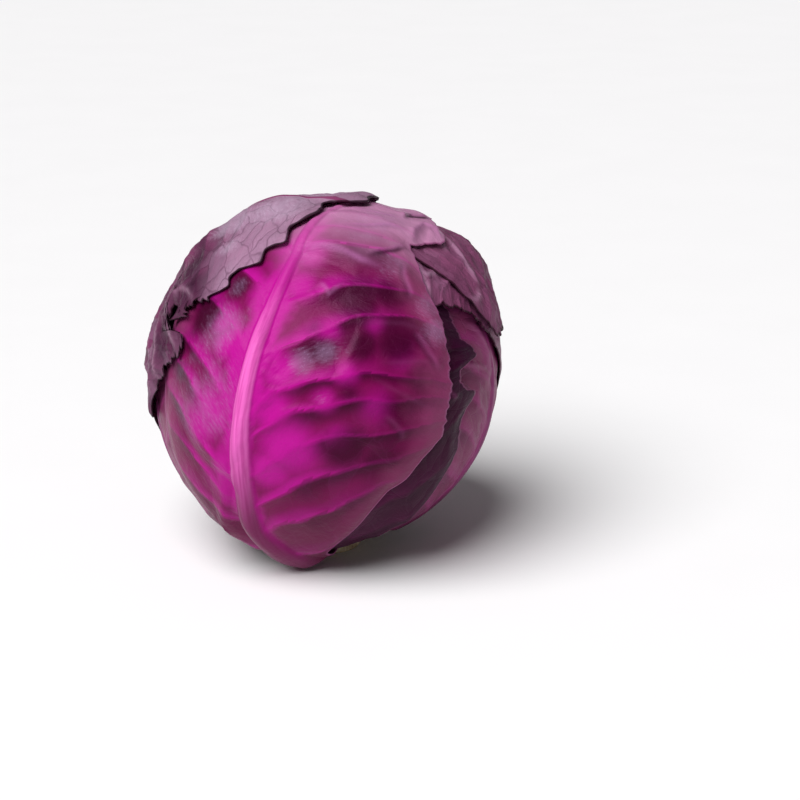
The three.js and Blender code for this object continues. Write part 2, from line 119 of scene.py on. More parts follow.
# The photograph's view
IMAGE_PIXELS = 800
HEAD_PIXEL = (326.0, 374.0)
PIXELS_PER_MM = 2.373
VIEW_ELEVATION = 18.0
LENS = 100.0
SENSOR = 36.0

# What a leaf's finish reads, with its value on plain flesh far from any rib and margin
PLAIN_FLESH = {
    "rib_mm": 60.0, "glow_mm": 60.0, "rib": 0.0, "vein_mm": 30.0, "panel": 0.5, "edge_mm": 30.0,
    "along": 0.5, "ridge": 0.0, "furrow": 0.0, "bloom": 0.0, "glow": 0.0, "shade": 0.0,
}

Tree = bpy.types.NodeTree
Socket = bpy.types.NodeSocket
Points = tuple[tuple[float, float], ...]
Value = float | str | tuple[float, ...] | bpy.types.ID | Socket


def smooth(low: float, high: float, value: np.ndarray) -> np.ndarray:
    """A smooth step from 0 at low to 1 at high."""
    share = np.clip((value - low) / (high - low), 0.0, 1.0)
    return share * share * (3.0 - 2.0 * share)


def monotone_curve(points: Points, at: np.ndarray) -> np.ndarray:
    """Values of the monotone cubic through points, which never overshoots them.

    Args:
        points: Pairs of a place and its value, in rising order of place.
        at: The places where values are wanted.

    Returns:
        The curve's values, held constant beyond its ends.
    """
    places = np.array([point[0] for point in points])
    values = np.array([point[1] for point in points])
    slopes = np.diff(values) / np.diff(places)
    before, after = slopes[:-1], slopes[1:]
    same_way = before * after > 0
    total = np.where(same_way, before + after, 1.0)
    inner = np.where(same_way, 2.0 * before * after / total, 0.0)
    tangents = np.concatenate([slopes[:1], inner, slopes[-1:]])
    x = np.clip(at, places[0], places[-1])
    i = np.clip(np.searchsorted(places, x, side="left") - 1, 0, len(slopes) - 1)
    width = places[i + 1] - places[i]
    t = (x - places[i]) / width
    return (
        values[i] * (1 + 2 * t) * (1 - t) ** 2
        + tangents[i] * width * t * (1 - t) ** 2
        + values[i + 1] * t * t * (3 - 2 * t)
        + tangents[i + 1] * width * t * t * (t - 1)
    )


def direction(azimuth: float | np.ndarray, latitude: float | np.ndarray) -> np.ndarray:
    """The direction at an azimuth and a latitude, seen from the head's middle.

    Args:
        azimuth: Degrees from the front, towards the right.
        latitude: Degrees above the horizon.

    Returns:
        The direction, or one row for each pair of angles.
    """
    turn, rise = np.broadcast_arrays(np.radians(azimuth), np.radians(latitude))
    level = np.cos(rise)
    return np.stack([level * np.sin(turn), -level * np.cos(turn), np.sin(rise)], axis=-1)


def wander(points: np.ndarray, size: float, seed: int) -> np.ndarray:
    """A smooth random field between about -1 and 1.

    Args:
        points: Places in millimetres, one row each.
        size: The typical distance between its highs and lows, in millimetres.
        seed: The seed of its waves.

    Returns:
        One value for each place.
    """
    random = np.random.default_rng(seed)
    total = np.zeros(len(points))
    waves, slowest, fastest, highest = 14, 0.55, 1.5, 1.6
    for _ in range(waves):
        way = random.normal(size=3)
        way /= np.linalg.norm(way)
        rate = math.pi / size * random.uniform(slowest, fastest)
        total += np.sin(points @ way * rate + random.uniform(0, 2 * math.pi))
    return total / math.sqrt(waves / 2) / highest


@dataclass(frozen=True)
class Lump:
    """A broad swelling of the heart."""

    azimuth: float
    latitude: float
    spread: float
    height: float


LUMPS = (
    Lump(74, 48, 32, 3.8),
    Lump(102, 38, 22, 3.4),
    Lump(88, -12, 26, 2.2),
    Lump(-74, -34, 34, 3.9),
    Lump(-100, 36, 20, 1.9),
    Lump(-52, -60, 24, 5.0),
    Lump(170, 5, 42, 0.9),
    Lump(20, -62, 30, 1.6),
    Lump(119, 56, 9, 1.4),
    Lump(102, 32, 9, 1.5),
    Lump(-57, -60, 8, 1.8),
    Lump(106, 42, 11, 3.6),
)


def heart_radius(towards: np.ndarray) -> np.ndarray:
    """How far the heart's surface is from the middle of the head.

    Args:
        towards: Directions from the middle, one row each.

    Returns:
        The distance in each direction, in millimetres.
    """
    up = towards[:, 2]
    polar = np.where(up > 0, HEART_TOP_RADIUS, HEART_BOTTOM_RADIUS)
    across = np.hypot(towards[:, 0], towards[:, 1]) / HEART_SIDE_RADIUS
    from_base = np.degrees(np.arccos(np.clip(-up, -1, 1)))
    radius = 1.0 / np.hypot(across, up / polar)
    radius -= BASE_DIMPLE * (1.0 - smooth(BASE_DIMPLE_START, BASE_DIMPLE_REACH, from_base))
    for lump in LUMPS:
        facing = towards @ direction(lump.azimuth, lump.latitude)
        angle = np.degrees(np.arccos(np.clip(facing, -1, 1)))
        radius += lump.height * np.exp(-((angle / lump.spread) ** 2))
    return radius


class Side(Enum):
    """The two halves of a leaf, as seen from outside."""

    LEFT = -1
    RIGHT = 1


@dataclass(frozen=True)
class Rib:
    """A midrib's height in millimetres and its half width in degrees, at the leaf's base."""

    height: float
    width: float


@dataclass(frozen=True)
class Stretch:
    """A stretch of margin, between two u, that stands off what is below it or is crumpled."""

    side: Side
    start: float
    end: float
    height: float


@dataclass(frozen=True)
class Wave(Stretch):
    """A stretch of margin that ripples in and out a number of times."""

    count: float


@dataclass(frozen=True)
class Crease:
    """A fold across a leaf, along a line of places given as u and a side angle.

    The blade stands up to height along the line, and drops by step on the line's right. A
    painted highlight lies along its ridge, and a painted shadow in the furrow on the line's right.
    """

    line: Points
    height: float
    step: float
    width: float
    highlight_share: float = 0.35
    shadow: float = 0.0


@dataclass(frozen=True)
class Spot:
    """A place on a leaf, with its reach in millimetres and how strongly it shows."""

    u: float
    side_angle: float
    reach: float
    share: float = 1.0


@dataclass(frozen=True)
class Grid:
    """A leaf's points, row by row from its base, each row from its left margin to its right.

    The level is the row's share of the way to the end that the blade reaches there, and the
    share is that of the way from the midrib to the margin. The edge is the distance from the
    margin in degrees.
    """

    level: np.ndarray
    share: np.ndarray
    side_angle: np.ndarray
    end: np.ndarray
    u: np.ndarray
    edge: np.ndarray
    towards: np.ndarray


@dataclass
class Leaf:
    """A leaf wrapped round the head.

    u runs from its base to its tip along the midrib, and the lateral veins follow lines of
    equal u, which sweep up towards the margins. Its side angle is measured from the midrib,
    negative on the left as seen from outside. The margins are half widths at shares of u, and
    the end is the share of u that the blade reaches at side angles. The bloom, which also
    stands in for painted sheen, is thickest at the spots, the flesh is most vivid at the glows
    and darkest at the shades.
    """

    node: str
    slot: str
    finish: "LeafFinish"
    azimuth: float
    lean: float
    base: float
    tip: float
    left: Points
    right: Points
    rib: Rib
    veins: tuple[float, ...]
    teeth: float
    rows: int
    columns: int
    seed: int
    lifts: tuple[Stretch, ...] = ()
    waves: tuple[Wave, ...] = ()
    creases: tuple[Crease, ...] = ()
    crumples: tuple[Stretch, ...] = ()
    spots: tuple[Spot, ...] = ()
    glows: tuple[Spot, ...] = ()
    shades: tuple[Spot, ...] = ()
    end: Points = ((-60, 1), (60, 1))
    vein_bend: float = 0.0
    stiffness: int = 0
    swell: float = 0.6
    ragged: float = 0.2
    left_veins: float = 1.0
    pucker: float = 0.3
    left_glow: float = 1.0
    hook: float = 0.0
    press: float = 0.55
    laid: np.ndarray | None = None

    def axes(self) -> tuple[np.ndarray, np.ndarray, np.ndarray]:
        """Works out the leaf's own axes.

        Returns:
            The directions of its base, of its outer face and of its right side.
        """
        turn, tilt = math.radians(self.azimuth), math.radians(self.lean)
        side = np.array([math.cos(turn), math.sin(turn), 0.0])
        down = np.array([0.0, 0.0, -1.0])
        outward = np.array([math.sin(turn), -math.cos(turn), 0.0])
        leaned_down = math.cos(tilt) * down - math.sin(tilt) * side
        leaned_side = math.cos(tilt) * side + math.sin(tilt) * down
        return leaned_down, outward, leaned_side

    def sweep(self, u: np.ndarray, side_angle: np.ndarray) -> np.ndarray:
        """How far the line of equal u has climbed at a side angle.

        Args:
            u: The places along the leaf.
            side_angle: The places' side angles.

        Returns:
            The climbs in degrees, up to VEIN_SWEEP a third of the way up.
        """
        share = np.clip(u, 0, 1)
        climb = 1.0 - np.exp(-np.abs(side_angle) / VEIN_REACH)
        return VEIN_SWEEP * climb * 27 / 4 * share * (1 - share) ** 2

    def hooked(self, u: np.ndarray) -> np.ndarray:
        """How far the leaf's base turns to the right on its way to the stalk."""
        return self.hook * (1 - smooth(0, HOOK_REACH, u))

    def from_vein(self, u: np.ndarray) -> np.ndarray:
        """The distance in u to the nearest lateral vein."""
        return np.min(np.abs(u[..., None] - np.array(self.veins)), axis=-1)

    def margin(self, u: np.ndarray, side: np.ndarray) -> np.ndarray:
        """The margin's side angle, with a tooth at each vein and fine notches between.

        Args:
            u: The places along the leaf.
            side: A negative number for the left margin and any other for the right.

        Returns:
            The margin's distance from the midrib, in degrees.
        """
        width = np.where(side < 0, monotone_curve(self.left, u), monotone_curve(self.right, u))
        spacing = 1.0 / len(self.veins)
        tooth = np.maximum(0.0, 1.0 - TOOTH_SHARPNESS * self.from_vein(u) / spacing)
        shifts = (self.seed, 2 * self.seed, 0)
        notch = sum(np.sin(u * rate + shift) for rate, shift in zip(NOTCH_RATES, shifts))
        ragged = self.teeth * (tooth - TOOTH_MIDDLE) + self.ragged * notch
        return width + ragged * smooth(*NECK, u)

    def towards(self, u: np.ndarray, side_angle: np.ndarray) -> np.ndarray:
        """The direction from the head's middle at the leaf's own coordinates.

        Args:
            u: The places along the leaf.
            side_angle: The places' side angles.

        Returns:
            One direction for each place.
        """
        down, outward, side = self.axes()
        along = np.radians(self.base + (self.tip - self.base) * u + self.sweep(u, side_angle))
        across = np.radians(side_angle + self.hooked(u))
        return (
            (np.cos(across) * np.cos(along))[:, None] * down
            + (np.cos(across) * np.sin(along))[:, None] * outward
            + np.sin(across)[:, None] * side
        )

    def locate(self, towards: np.ndarray) -> tuple[np.ndarray, np.ndarray]:
        """Finds the leaf's own coordinates in each direction, u by halving its range.

        Args:
            towards: The directions from the head's middle.

        Returns:
            The u, which is below 0 or above 1 beyond the leaf's ends, and the side angle.
        """
        down, outward, side = self.axes()
        across = np.degrees(np.arcsin(np.clip(towards @ side, -1, 1)))
        along = np.degrees(np.arctan2(towards @ outward, towards @ down))
        along = np.where(along < -90, along + 360, along)
        lowest, highest, halvings = -0.6, 1.6, 18
        low = np.full(len(towards), lowest)
        high = np.full(len(towards), highest)
        for _ in range(halvings):
            u = (low + high) / 2
            climbed = self.sweep(u, across - self.hooked(u))
            short = self.base + (self.tip - self.base) * u + climbed < along
            low = np.where(short, u, low)
            high = np.where(short, high, u)
        u = (low + high) / 2
        return u, across - self.hooked(u)

    def rib_width(self, u: np.ndarray) -> np.ndarray:
        """The midrib's half width in degrees."""
        share = RIB_TIP_WIDTH + (1 - RIB_TIP_WIDTH) * (1 - np.clip(u, 0, 1)) ** 1.3
        return self.rib.width * share + RIB_FLARE * (1 - smooth(0, RIB_FLARE_REACH, u))

    def rib_height(self, u: np.ndarray) -> np.ndarray:
        """The midrib's height over the blade."""
        share = RIB_TIP_HEIGHT + (1 - RIB_TIP_HEIGHT) * (1 - np.clip(u, 0, 1)) ** 1.5
        return self.rib.height * share

    def beside(
        self, stretch: Stretch, u: np.ndarray, side_angle: np.ndarray
    ) -> tuple[np.ndarray, np.ndarray]:
        """Works out where places are beside a stretch of the margin.

        Args:
            stretch: The stretch of margin.
            u: The places along the leaf.
            side_angle: The places' side angles.

        Returns:
            The share of the way from the midrib to that margin, below 0 on its other side, and
            how near the middle of the stretch is, from 0 at its ends and beyond them to 1.
        """
        share = stretch.side.value * side_angle / self.margin(u, side_angle)
        middle = (stretch.start + stretch.end) / 2
        near = 1 - np.minimum(1, np.abs((u - middle) / (stretch.end - middle)))
        return share, near

    def lift(self, u: np.ndarray, side_angle: np.ndarray) -> np.ndarray:
        """How far the leaf stands off what is below it, beyond the usual gap.

        Args:
            u: The places along the leaf.
            side_angle: The places' side angles.

        Returns:
            The heights in millimetres.
        """
        height = BASE_GAP * (1 - smooth(0.08, 0.3, u))
        for stretch in self.lifts:
            share, near = self.beside(stretch, u, side_angle)
            height = height + stretch.height * smooth(0.55, 1, share) * smooth(0, 0.6, near)
        return height

    def laid_radius(self, u: np.ndarray, side_angle: np.ndarray) -> np.ndarray:
        """The radius of the laid inner face at the leaf's own coordinates.

        Args:
            u: The places along the leaf.
            side_angle: The places' side angles.

        Returns:
            The radii between the laid points around each place.
        """
        within = np.clip(u, 0, 1)
        row = within * (self.rows - 1)
        share = np.clip(side_angle / self.margin(within, side_angle), -1, 1)
        column = (share + 1) / 2 * (self.columns - 1)
        i = np.clip(row.astype(int), 0, self.rows - 2)
        j = np.clip(column.astype(int), 0, self.columns - 2)
        down, over = row - i, column - j
        near = self.laid[i, j] * (1 - over) + self.laid[i, j + 1] * over
        far = self.laid[i + 1, j] * (1 - over) + self.laid[i + 1, j + 1] * over
        return near * (1 - down) + far * down

    def cover_radius(self, towards: np.ndarray, below: np.ndarray) -> np.ndarray:
        """How far the laid layers reach once this leaf lies on what is below.

        Args:
            towards: The directions from the head's middle.
            below: How far the heart and the leaves below this one reach.

        Returns:
            The radius in each direction, with a ramp beside the leaf's margins.
        """
        u, side_angle = self.locate(towards)
        within = np.clip(u, 0, 1)
        edge = self.margin(within, side_angle) - np.abs(side_angle)
        length = self.tip - self.base

        def cover(inside: np.ndarray) -> np.ndarray:
            """How far the ramp beside the leaf has risen, at degrees inside its margin."""
            return smooth(-RAMP_START - RAMP_WIDTH, -RAMP_START, inside)

        share = cover(edge) * cover(u * length) * cover((1 - u) * length)
        rib_edge = self.rib_width(within) * 0.7
        swelling = 1 - smooth(0, 1, (np.abs(side_angle) - rib_edge) / RIB_RAMP)
        rib = 1.1 * self.rib_height(within) * swelling
        back = self.laid_radius(u, side_angle) + LAMINA + VEIN_HEIGHT * 0.8 + rib
        return below + share * np.maximum(0, back - below)

    def vein_mm(self, u: np.ndarray) -> np.ndarray:
        """The distance to the nearest lateral vein, in millimetres over the blade."""
        degree = math.radians(HEART_SIDE_RADIUS + 6)
        return self.from_vein(u) * (self.tip - self.base) * degree

    def panel(self, u: np.ndarray) -> np.ndarray:
        """How far a place is between two lateral veins.

        Args:
            u: The places along the leaf.

        Returns:
            The shares, from 0 on the lower vein to 1 under the upper one.
        """
        marks = np.array([0.0, *self.veins, 1.0])
        i = np.clip(np.searchsorted(marks, u, side="right") - 1, 0, len(marks) - 2)
        return (u - marks[i]) / (marks[i + 1] - marks[i])

    def relief(self, u: np.ndarray, wavy: np.ndarray, side_angle: np.ndarray) -> np.ndarray:
        """How far the outer face stands over a plain blade: ribs, veins and the flesh between.

        Args:
            u: The places along the leaf.
            wavy: The same places on slightly uneven veins.
            side_angle: The places' side angles.

        Returns:
            The heights in millimetres.
        """
        inside = smooth(0, THIN_MARGIN, self.margin(u, side_angle) - np.abs(side_angle))
        rib = np.maximum(0, 1 - (side_angle / self.rib_width(u)) ** 2) ** 0.75
        fade = np.exp(-np.abs(side_angle) / VEIN_FADE)
        fade = fade * np.where(side_angle < 0, self.left_veins, 1.0)
        line = np.exp(-((self.vein_mm(wavy) / (1.2 + 0.8 * fade)) ** 2)) * fade
        swelling = (0.5 + 0.5 * np.cos(2 * math.pi * self.panel(wavy))) ** 1.3
        swelling = self.swell * swelling * fade * smooth(2, 12, np.abs(side_angle))
        veins = (VEIN_HEIGHT * 0.5 * line + swelling) * smooth(0.03, 0.1, u)
        return self.rib_height(u) * rib + veins * inside * (1 - rib)

    def spotted(self, towards: np.ndarray, spots: tuple[Spot, ...]) -> np.ndarray:
        """How strongly a set of spots shows.

        Args:
            towards: The directions from the head's middle.
            spots: The places on this leaf.

        Returns:
            The strength in each direction, from 0 to 1.
        """
        strength = np.zeros(len(towards))
        for spot in spots:
            middle = self.towards(np.array([spot.u]), np.array([spot.side_angle]))[0]
            away = np.linalg.norm(towards - middle, axis=1) * HEART_SIDE_RADIUS / spot.reach
            strength = np.maximum(strength, spot.share * np.exp(-away * away))
        return strength

    def rippled(self, u: np.ndarray, side_angle: np.ndarray) -> np.ndarray:
        """How far rippled margins move the whole blade.

        Args:
            u: The places along the leaf.
            side_angle: The places' side angles.

        Returns:
            The offsets in millimetres.
        """
        offset = np.zeros(len(u))
        for wave in self.waves:
            share, near = self.beside(wave, u, side_angle)
            phase = 2 * math.pi * wave.count * (u - wave.start) / (wave.end - wave.start)
            offset += wave.height * np.sin(phase) * smooth(0.7, 1, share) * smooth(0, 0.4, near)
        return offset

    def creased(self, towards: np.ndarray) -> tuple[np.ndarray, np.ndarray, np.ndarray]:
        """Works out what the creases do in each direction.

        Args:
            towards: The directions from the head's middle.

        Returns:
            How far they move the blade, and the shares of a painted ridge highlight and furrow shadow.
        """
        offset = np.zeros(len(towards))
        ridge_highlights = np.zeros(len(towards))
        furrow_shadows = np.zeros(len(towards))
        for crease in self.creases:
            places = np.array(crease.line)
            line = self.towards(places[:, 0], places[:, 1])
            best = np.full(len(towards), np.inf)
            signed = np.zeros(len(towards))
            taper = np.zeros(len(towards))
            steps = len(line) - 1
            for k in range(steps):
                start, way = line[k], line[k + 1] - line[k]
                share = np.clip((towards - start) @ way / (way @ way), 0, 1)
                away = towards - start - share[:, None] * way
                distance = np.linalg.norm(away, axis=1)
                right = np.sign(np.einsum("ij,ij->i", np.cross(way, towards), away))
                nearer = distance < best
                best = np.where(nearer, distance, best)
                signed = np.where(nearer, right * distance, signed)
                place = (k + share) / steps
                taper = np.where(nearer, np.minimum(1, 4 * np.minimum(place, 1 - place)), taper)
            reach = signed * HEART_SIDE_RADIUS / crease.width
            ridge = np.exp(-reach * reach)
            drop = smooth(-0.4, 0.4, reach) * np.exp(-np.maximum(reach, 0) / 2.2)
            offset += taper * (crease.height * ridge - crease.step * drop)
            ridge_highlights = np.maximum(ridge_highlights, taper * np.exp(-((reach / 0.4) ** 2)) * crease.highlight_share)
            furrow = np.exp(-(((reach - 0.45) / 0.4) ** 2))
            furrow_shadows = np.maximum(furrow_shadows, taper * furrow * crease.shadow)
        return offset, ridge_highlights, furrow_shadows

    def crumpled(self, u: np.ndarray, side_angle: np.ndarray, places: np.ndarray) -> np.ndarray:
        """How far small sharp wrinkles raise the blade along its crumpled margins.

        Args:
            u: The places along the leaf.
            side_angle: The places' side angles.
            places: The places in millimetres from the head's middle.

        Returns:
            The heights in millimetres.
        """
        offset = np.zeros(len(u))
        fine = (1 - np.minimum(1, np.abs(wander(places, 11, self.seed + 30)))) ** 3
        fine += 0.6 * (1 - np.minimum(1, np.abs(wander(places, 6, self.seed + 31)))) ** 3
        for stretch in self.crumples:
            share, near = self.beside(stretch, u, side_angle)
            offset += stretch.height * fine * smooth(0.3, 0.8, share) * smooth(0, 0.35, near)
        return offset

    def bridged(self, low: np.ndarray, u: np.ndarray, edge: np.ndarray) -> np.ndarray:
        """Lets a stiff blade bridge the steps of the leaves below it.

        Args:
            low: The radii that follow the leaves below, row by row.
            u: The places along the leaf.
            edge: The places' distances from the margins, in degrees.

        Returns:
            The radii of the bridging blade, which is never nearer the middle.
        """
        if not self.stiffness:
            return low
        reach = 3 * self.stiffness
        kernel = np.exp(-0.5 * (np.arange(-reach, reach + 1) / self.stiffness) ** 2)
        kernel /= kernel.sum()
        even = low.reshape(self.rows, self.columns)
        for _ in range(2):
            lines = [np.convolve(np.pad(line, reach, "edge"), kernel, "valid") for line in even]
            even = np.array(lines).T
        risen = np.maximum(0, even.ravel() - low)
        free = smooth(0.2, 0.32, u) * smooth(2, 12, edge) * (1 - smooth(0.8, 0.92, u))
        return low + risen * free

    def grid(self) -> Grid:
        """Spreads the leaf's points evenly between its ends and between its margins.

        Returns:
            The points.
        """
        level_line = np.linspace(0, 1, self.rows)
        share_line = np.linspace(-1, 1, self.columns)
        level, share = (g.ravel() for g in np.meshgrid(level_line, share_line, indexing="ij"))
        side_angle = share * self.margin(level, share)
        end = monotone_curve(self.end, side_angle)
        u = level * end
        edge = self.margin(level, share) - np.abs(side_angle)
        return Grid(level, share, side_angle, end, u, edge, self.towards(u, side_angle))

    def wavy(self, grid: Grid, places: np.ndarray) -> np.ndarray:
        """Makes the leaf's lateral veins slightly uneven.

        Args:
            grid: The leaf's points.
            places: The points in millimetres from the head's middle.

        Returns:
            The u that each point has on the uneven veins.
        """
        uneven = wander(places, 26, self.seed) + 0.5 * wander(places, 9, self.seed + 60)
        near = np.exp(-(((grid.u - VEIN_BEND_MIDDLE) / VEIN_BEND_REACH) ** 2))
        bend = self.vein_bend * smooth(8, 55, grid.side_angle) * near
        return grid.u + VEIN_WANDER * uneven - bend

    def faces(
        self, grid: Grid, low: np.ndarray, folded: np.ndarray, wavy: np.ndarray
    ) -> tuple[np.ndarray, np.ndarray]:
        """Works out the leaf's two faces.

        Args:
            grid: The leaf's points.
            low: The radii of its laid inner face.
            folded: How far its folds move the blade.
            wavy: The points' u on its uneven veins.

        Returns:
            The radii of the outer face, which stays clear of the floor, and of the inner one.
        """
        pressed = smooth(PRESSED_SIDE, 1, np.abs(grid.share)) + smooth(PRESSED_END, 1, grid.level)
        pressed = self.press * np.minimum(1, pressed)
        lifted = np.minimum(1, self.lift(grid.u, grid.side_angle))
        inner = low - pressed * (1 - lifted) + folded
        away = smooth(0, THIN_MARGIN, grid.edge) * smooth(0, THIN_END, grid.end - grid.u)
        blade = MARGIN_THICKNESS + (LAMINA - MARGIN_THICKNESS) * away
        outer = inner + blade + self.relief(grid.u, wavy, grid.side_angle)
        floor = (HEAD_MIDDLE_Z - FLOOR_ROOM) / np.maximum(-grid.towards[:, 2], 0.2)
        return np.minimum(outer, floor), inner

    def facts(self, grid: Grid, degree: np.ndarray, wavy: np.ndarray) -> dict[str, np.ndarray]:
        """Measures what the leaf's finish reads, apart from the creases.

        Args:
            grid: The leaf's points.
            degree: How many millimetres a degree is at each point.
            wavy: The points' u on its uneven veins.

        Returns:
            A number for each point, for each attribute.
        """
        rib_mm = np.abs(grid.side_angle) * degree
        to_end = (grid.end - grid.u) * (self.tip - self.base)
        return {
            "rib_mm": rib_mm,
            "glow_mm": rib_mm * np.where(grid.side_angle < 0, self.left_glow, 1.0),
            "rib": np.maximum(0, 1 - (grid.side_angle / self.rib_width(grid.u)) ** 2),
            "vein_mm": self.vein_mm(wavy),
            "panel": self.panel(wavy),
            "edge_mm": np.minimum(grid.edge, to_end) * degree,
            "along": grid.u,
            "bloom": self.spotted(grid.towards, self.spots),
            "glow": self.spotted(grid.towards, self.glows),
            "shade": self.spotted(grid.towards, self.shades),
        }

    def build(self, below: list["Leaf"]) -> bpy.types.Object:
        """Lays the leaf on the leaves below it and makes its mesh.

        Args:
            below: The leaves that are already laid, the innermost first.

        Returns:
            The leaf's object, with its finish.
        """
        grid = self.grid()
        u, side_angle, towards = grid.u, grid.side_angle, grid.towards
        low = surface_below(towards, below) + LAYER_GAP + self.lift(u, side_angle)
        low = self.bridged(low, u, grid.edge)
        self.laid = low.reshape(self.rows, self.columns)
        places = towards * low[:, None]
        wavy = self.wavy(grid, places)
        folded, ridge_highlights, furrow_shadows = self.creased(towards)
        folded = folded + self.rippled(u, side_angle) + self.crumpled(u, side_angle, places)
        outer, inner = self.faces(grid, low, folded, wavy)
        degree = math.radians(1) * low
        facts = self.facts(grid, degree, wavy) | {"ridge": ridge_highlights, "furrow": furrow_shadows}
        clear = smooth(0, 5, facts["rib_mm"] - self.rib_width(u) * degree)
        clear = clear * smooth(1, 8, facts["edge_mm"]) * smooth(0.05, 0.15, u)
        pucker = clear * (1 - np.exp(-((facts["vein_mm"] / PUCKER_CLEARANCE) ** 2)))
        facts = {name: np.tile(values, 2) for name, values in facts.items()}
        facts["pucker"] = np.concatenate([pucker, np.zeros(len(pucker))])
        flat = np.column_stack([side_angle, self.base + (self.tip - self.base) * u])
        flat = np.tile(flat * degree[:, None], (2, 1))
        faces = towards * outer[:, None], towards * inner[:, None]
        mesh = shell_mesh(self.node, *faces, self.columns)
        piece = dress(self.node, mesh, facts, flat, self.finish)
        Puckers(self.pucker).swell(piece, self.finish)
        return piece


def surface_below(towards: np.ndarray, layers: list[Leaf]) -> np.ndarray:
    """How far the heart and the leaves laid on it reach from the head's middle.

    Args:
        towards: The directions from the head's middle.
        layers: The laid leaves, the innermost first.

    Returns:
        The radius in each direction.
    """
    below = heart_radius(towards)
    for leaf in layers:
        below = leaf.cover_radius(towards, below)
    return below


def shell_mesh(name: str, outer: np.ndarray, inner: np.ndarray, per_row: int) -> bpy.types.Mesh:
    """A closed shell between two grids of points with the same rows.

    Args:
        name: The mesh's name.
        outer: The outer face's points in millimetres from the head's middle, row by row.
        inner: The inner face's points, in the same order.
        per_row: How many points a row has.

    Returns:
        The mesh, in metres, with its faces pointing out.
    """
    count = len(outer)
    index = np.arange(count).reshape(-1, per_row)
    corners = index[:-1, :-1], index[:-1, 1:], index[1:, 1:], index[1:, :-1]
    a, b, c, d = (part.ravel() for part in corners)
    faces = [np.column_stack([a, b, c, d]), np.column_stack([a, d, c, b]) + count]
    rim = np.concatenate([index[0, :], index[1:, -1], index[-1, -2::-1], index[-2:0:-1, 0]])
    after = np.roll(rim, -1)
    faces.append(np.column_stack([after, rim, rim + count, after + count]))
    return plain_mesh(name, np.vstack([outer, inner]), np.vstack(faces))


def plain_mesh(name: str, places: np.ndarray, faces: np.ndarray) -> bpy.types.Mesh:
    """A smooth-shaded mesh of faces with the same number of corners, turned outwards.

    Args:
        name: The mesh's name.
        places: Points in millimetres from the head's middle.
        faces: One row of point indices for each face.

    Returns:
        The mesh, in metres.
    """
    fans = [places[faces[:, k]] for k in (0, 1, 2)]
    volume = np.einsum("ij,ij->", fans[0], np.cross(fans[1], fans[2]))
    corners = faces.shape[1]
    if corners == 4:
        last = places[faces[:, 3]]
        volume += np.einsum("ij,ij->", fans[0], np.cross(fans[2], last))
    if volume < 0:
        faces = faces[:, ::-1]
    mesh = bpy.data.meshes.new(name)
    mesh.vertices.add(len(places))
    mesh.vertices.foreach_set("co", ((places + [0, 0, HEAD_MIDDLE_Z]) * MM).ravel())
    mesh.loops.add(faces.size)
    mesh.loops.foreach_set("vertex_index", faces.ravel().astype(np.int32))
    mesh.polygons.add(len(faces))
    mesh.polygons.foreach_set("loop_start", np.arange(0, faces.size, corners, dtype=np.int32))
    mesh.polygons.foreach_set("use_smooth", np.ones(len(faces), bool))
    mesh.update(calc_edges=True)
    return mesh


def dress(
    name: str,
    mesh: bpy.types.Mesh,
    facts: dict[str, np.ndarray],
    flat: np.ndarray,
    finish: "LeafFinish | StalkFinish",
) -> bpy.types.Object:
    """Makes an object of a mesh, with its facts, its flat map and its finish.

    Args:
        name: The object's name.
        mesh: The object's mesh.
        facts: A number for each point, for each attribute that the finish reads.
        flat: Each point's place on the flat map, in millimetres.
        finish: What the surface is.

    Returns:
        The object, linked to the scene.
    """
    for fact, values in facts.items():
        attribute = mesh.attributes.new(fact, "FLOAT", "POINT")
        attribute.data.foreach_set("value", values.astype(np.float32))
    corners = np.empty(len(mesh.loops), np.int32)
    mesh.loops.foreach_get("vertex_index", corners)
    flat_map = mesh.uv_layers.new(name="flat")
    flat_map.uv.foreach_set("vector", flat[corners].astype(np.float32).ravel())
    mesh.materials.append(finish.material())
    piece = bpy.data.objects.new(name, mesh)
    bpy.context.scene.collection.objects.link(piece)
    return piece


def linear(colour: str) -> tuple[float, float, float, float]:
    """Turns an sRGB colour to linear.

    Args:
        colour: A hex value such as #8f2f6c.

    Returns:
        Its red, green and blue, and full opacity.
    """
    channels = [int(colour[i : i + 2], 16) / 255 for i in (1, 3, 5)]
    turned = [c / 12.92 if c <= 0.04045 else ((c + 0.055) / 1.055) ** 2.4 for c in channels]
    return (*turned, 1.0)


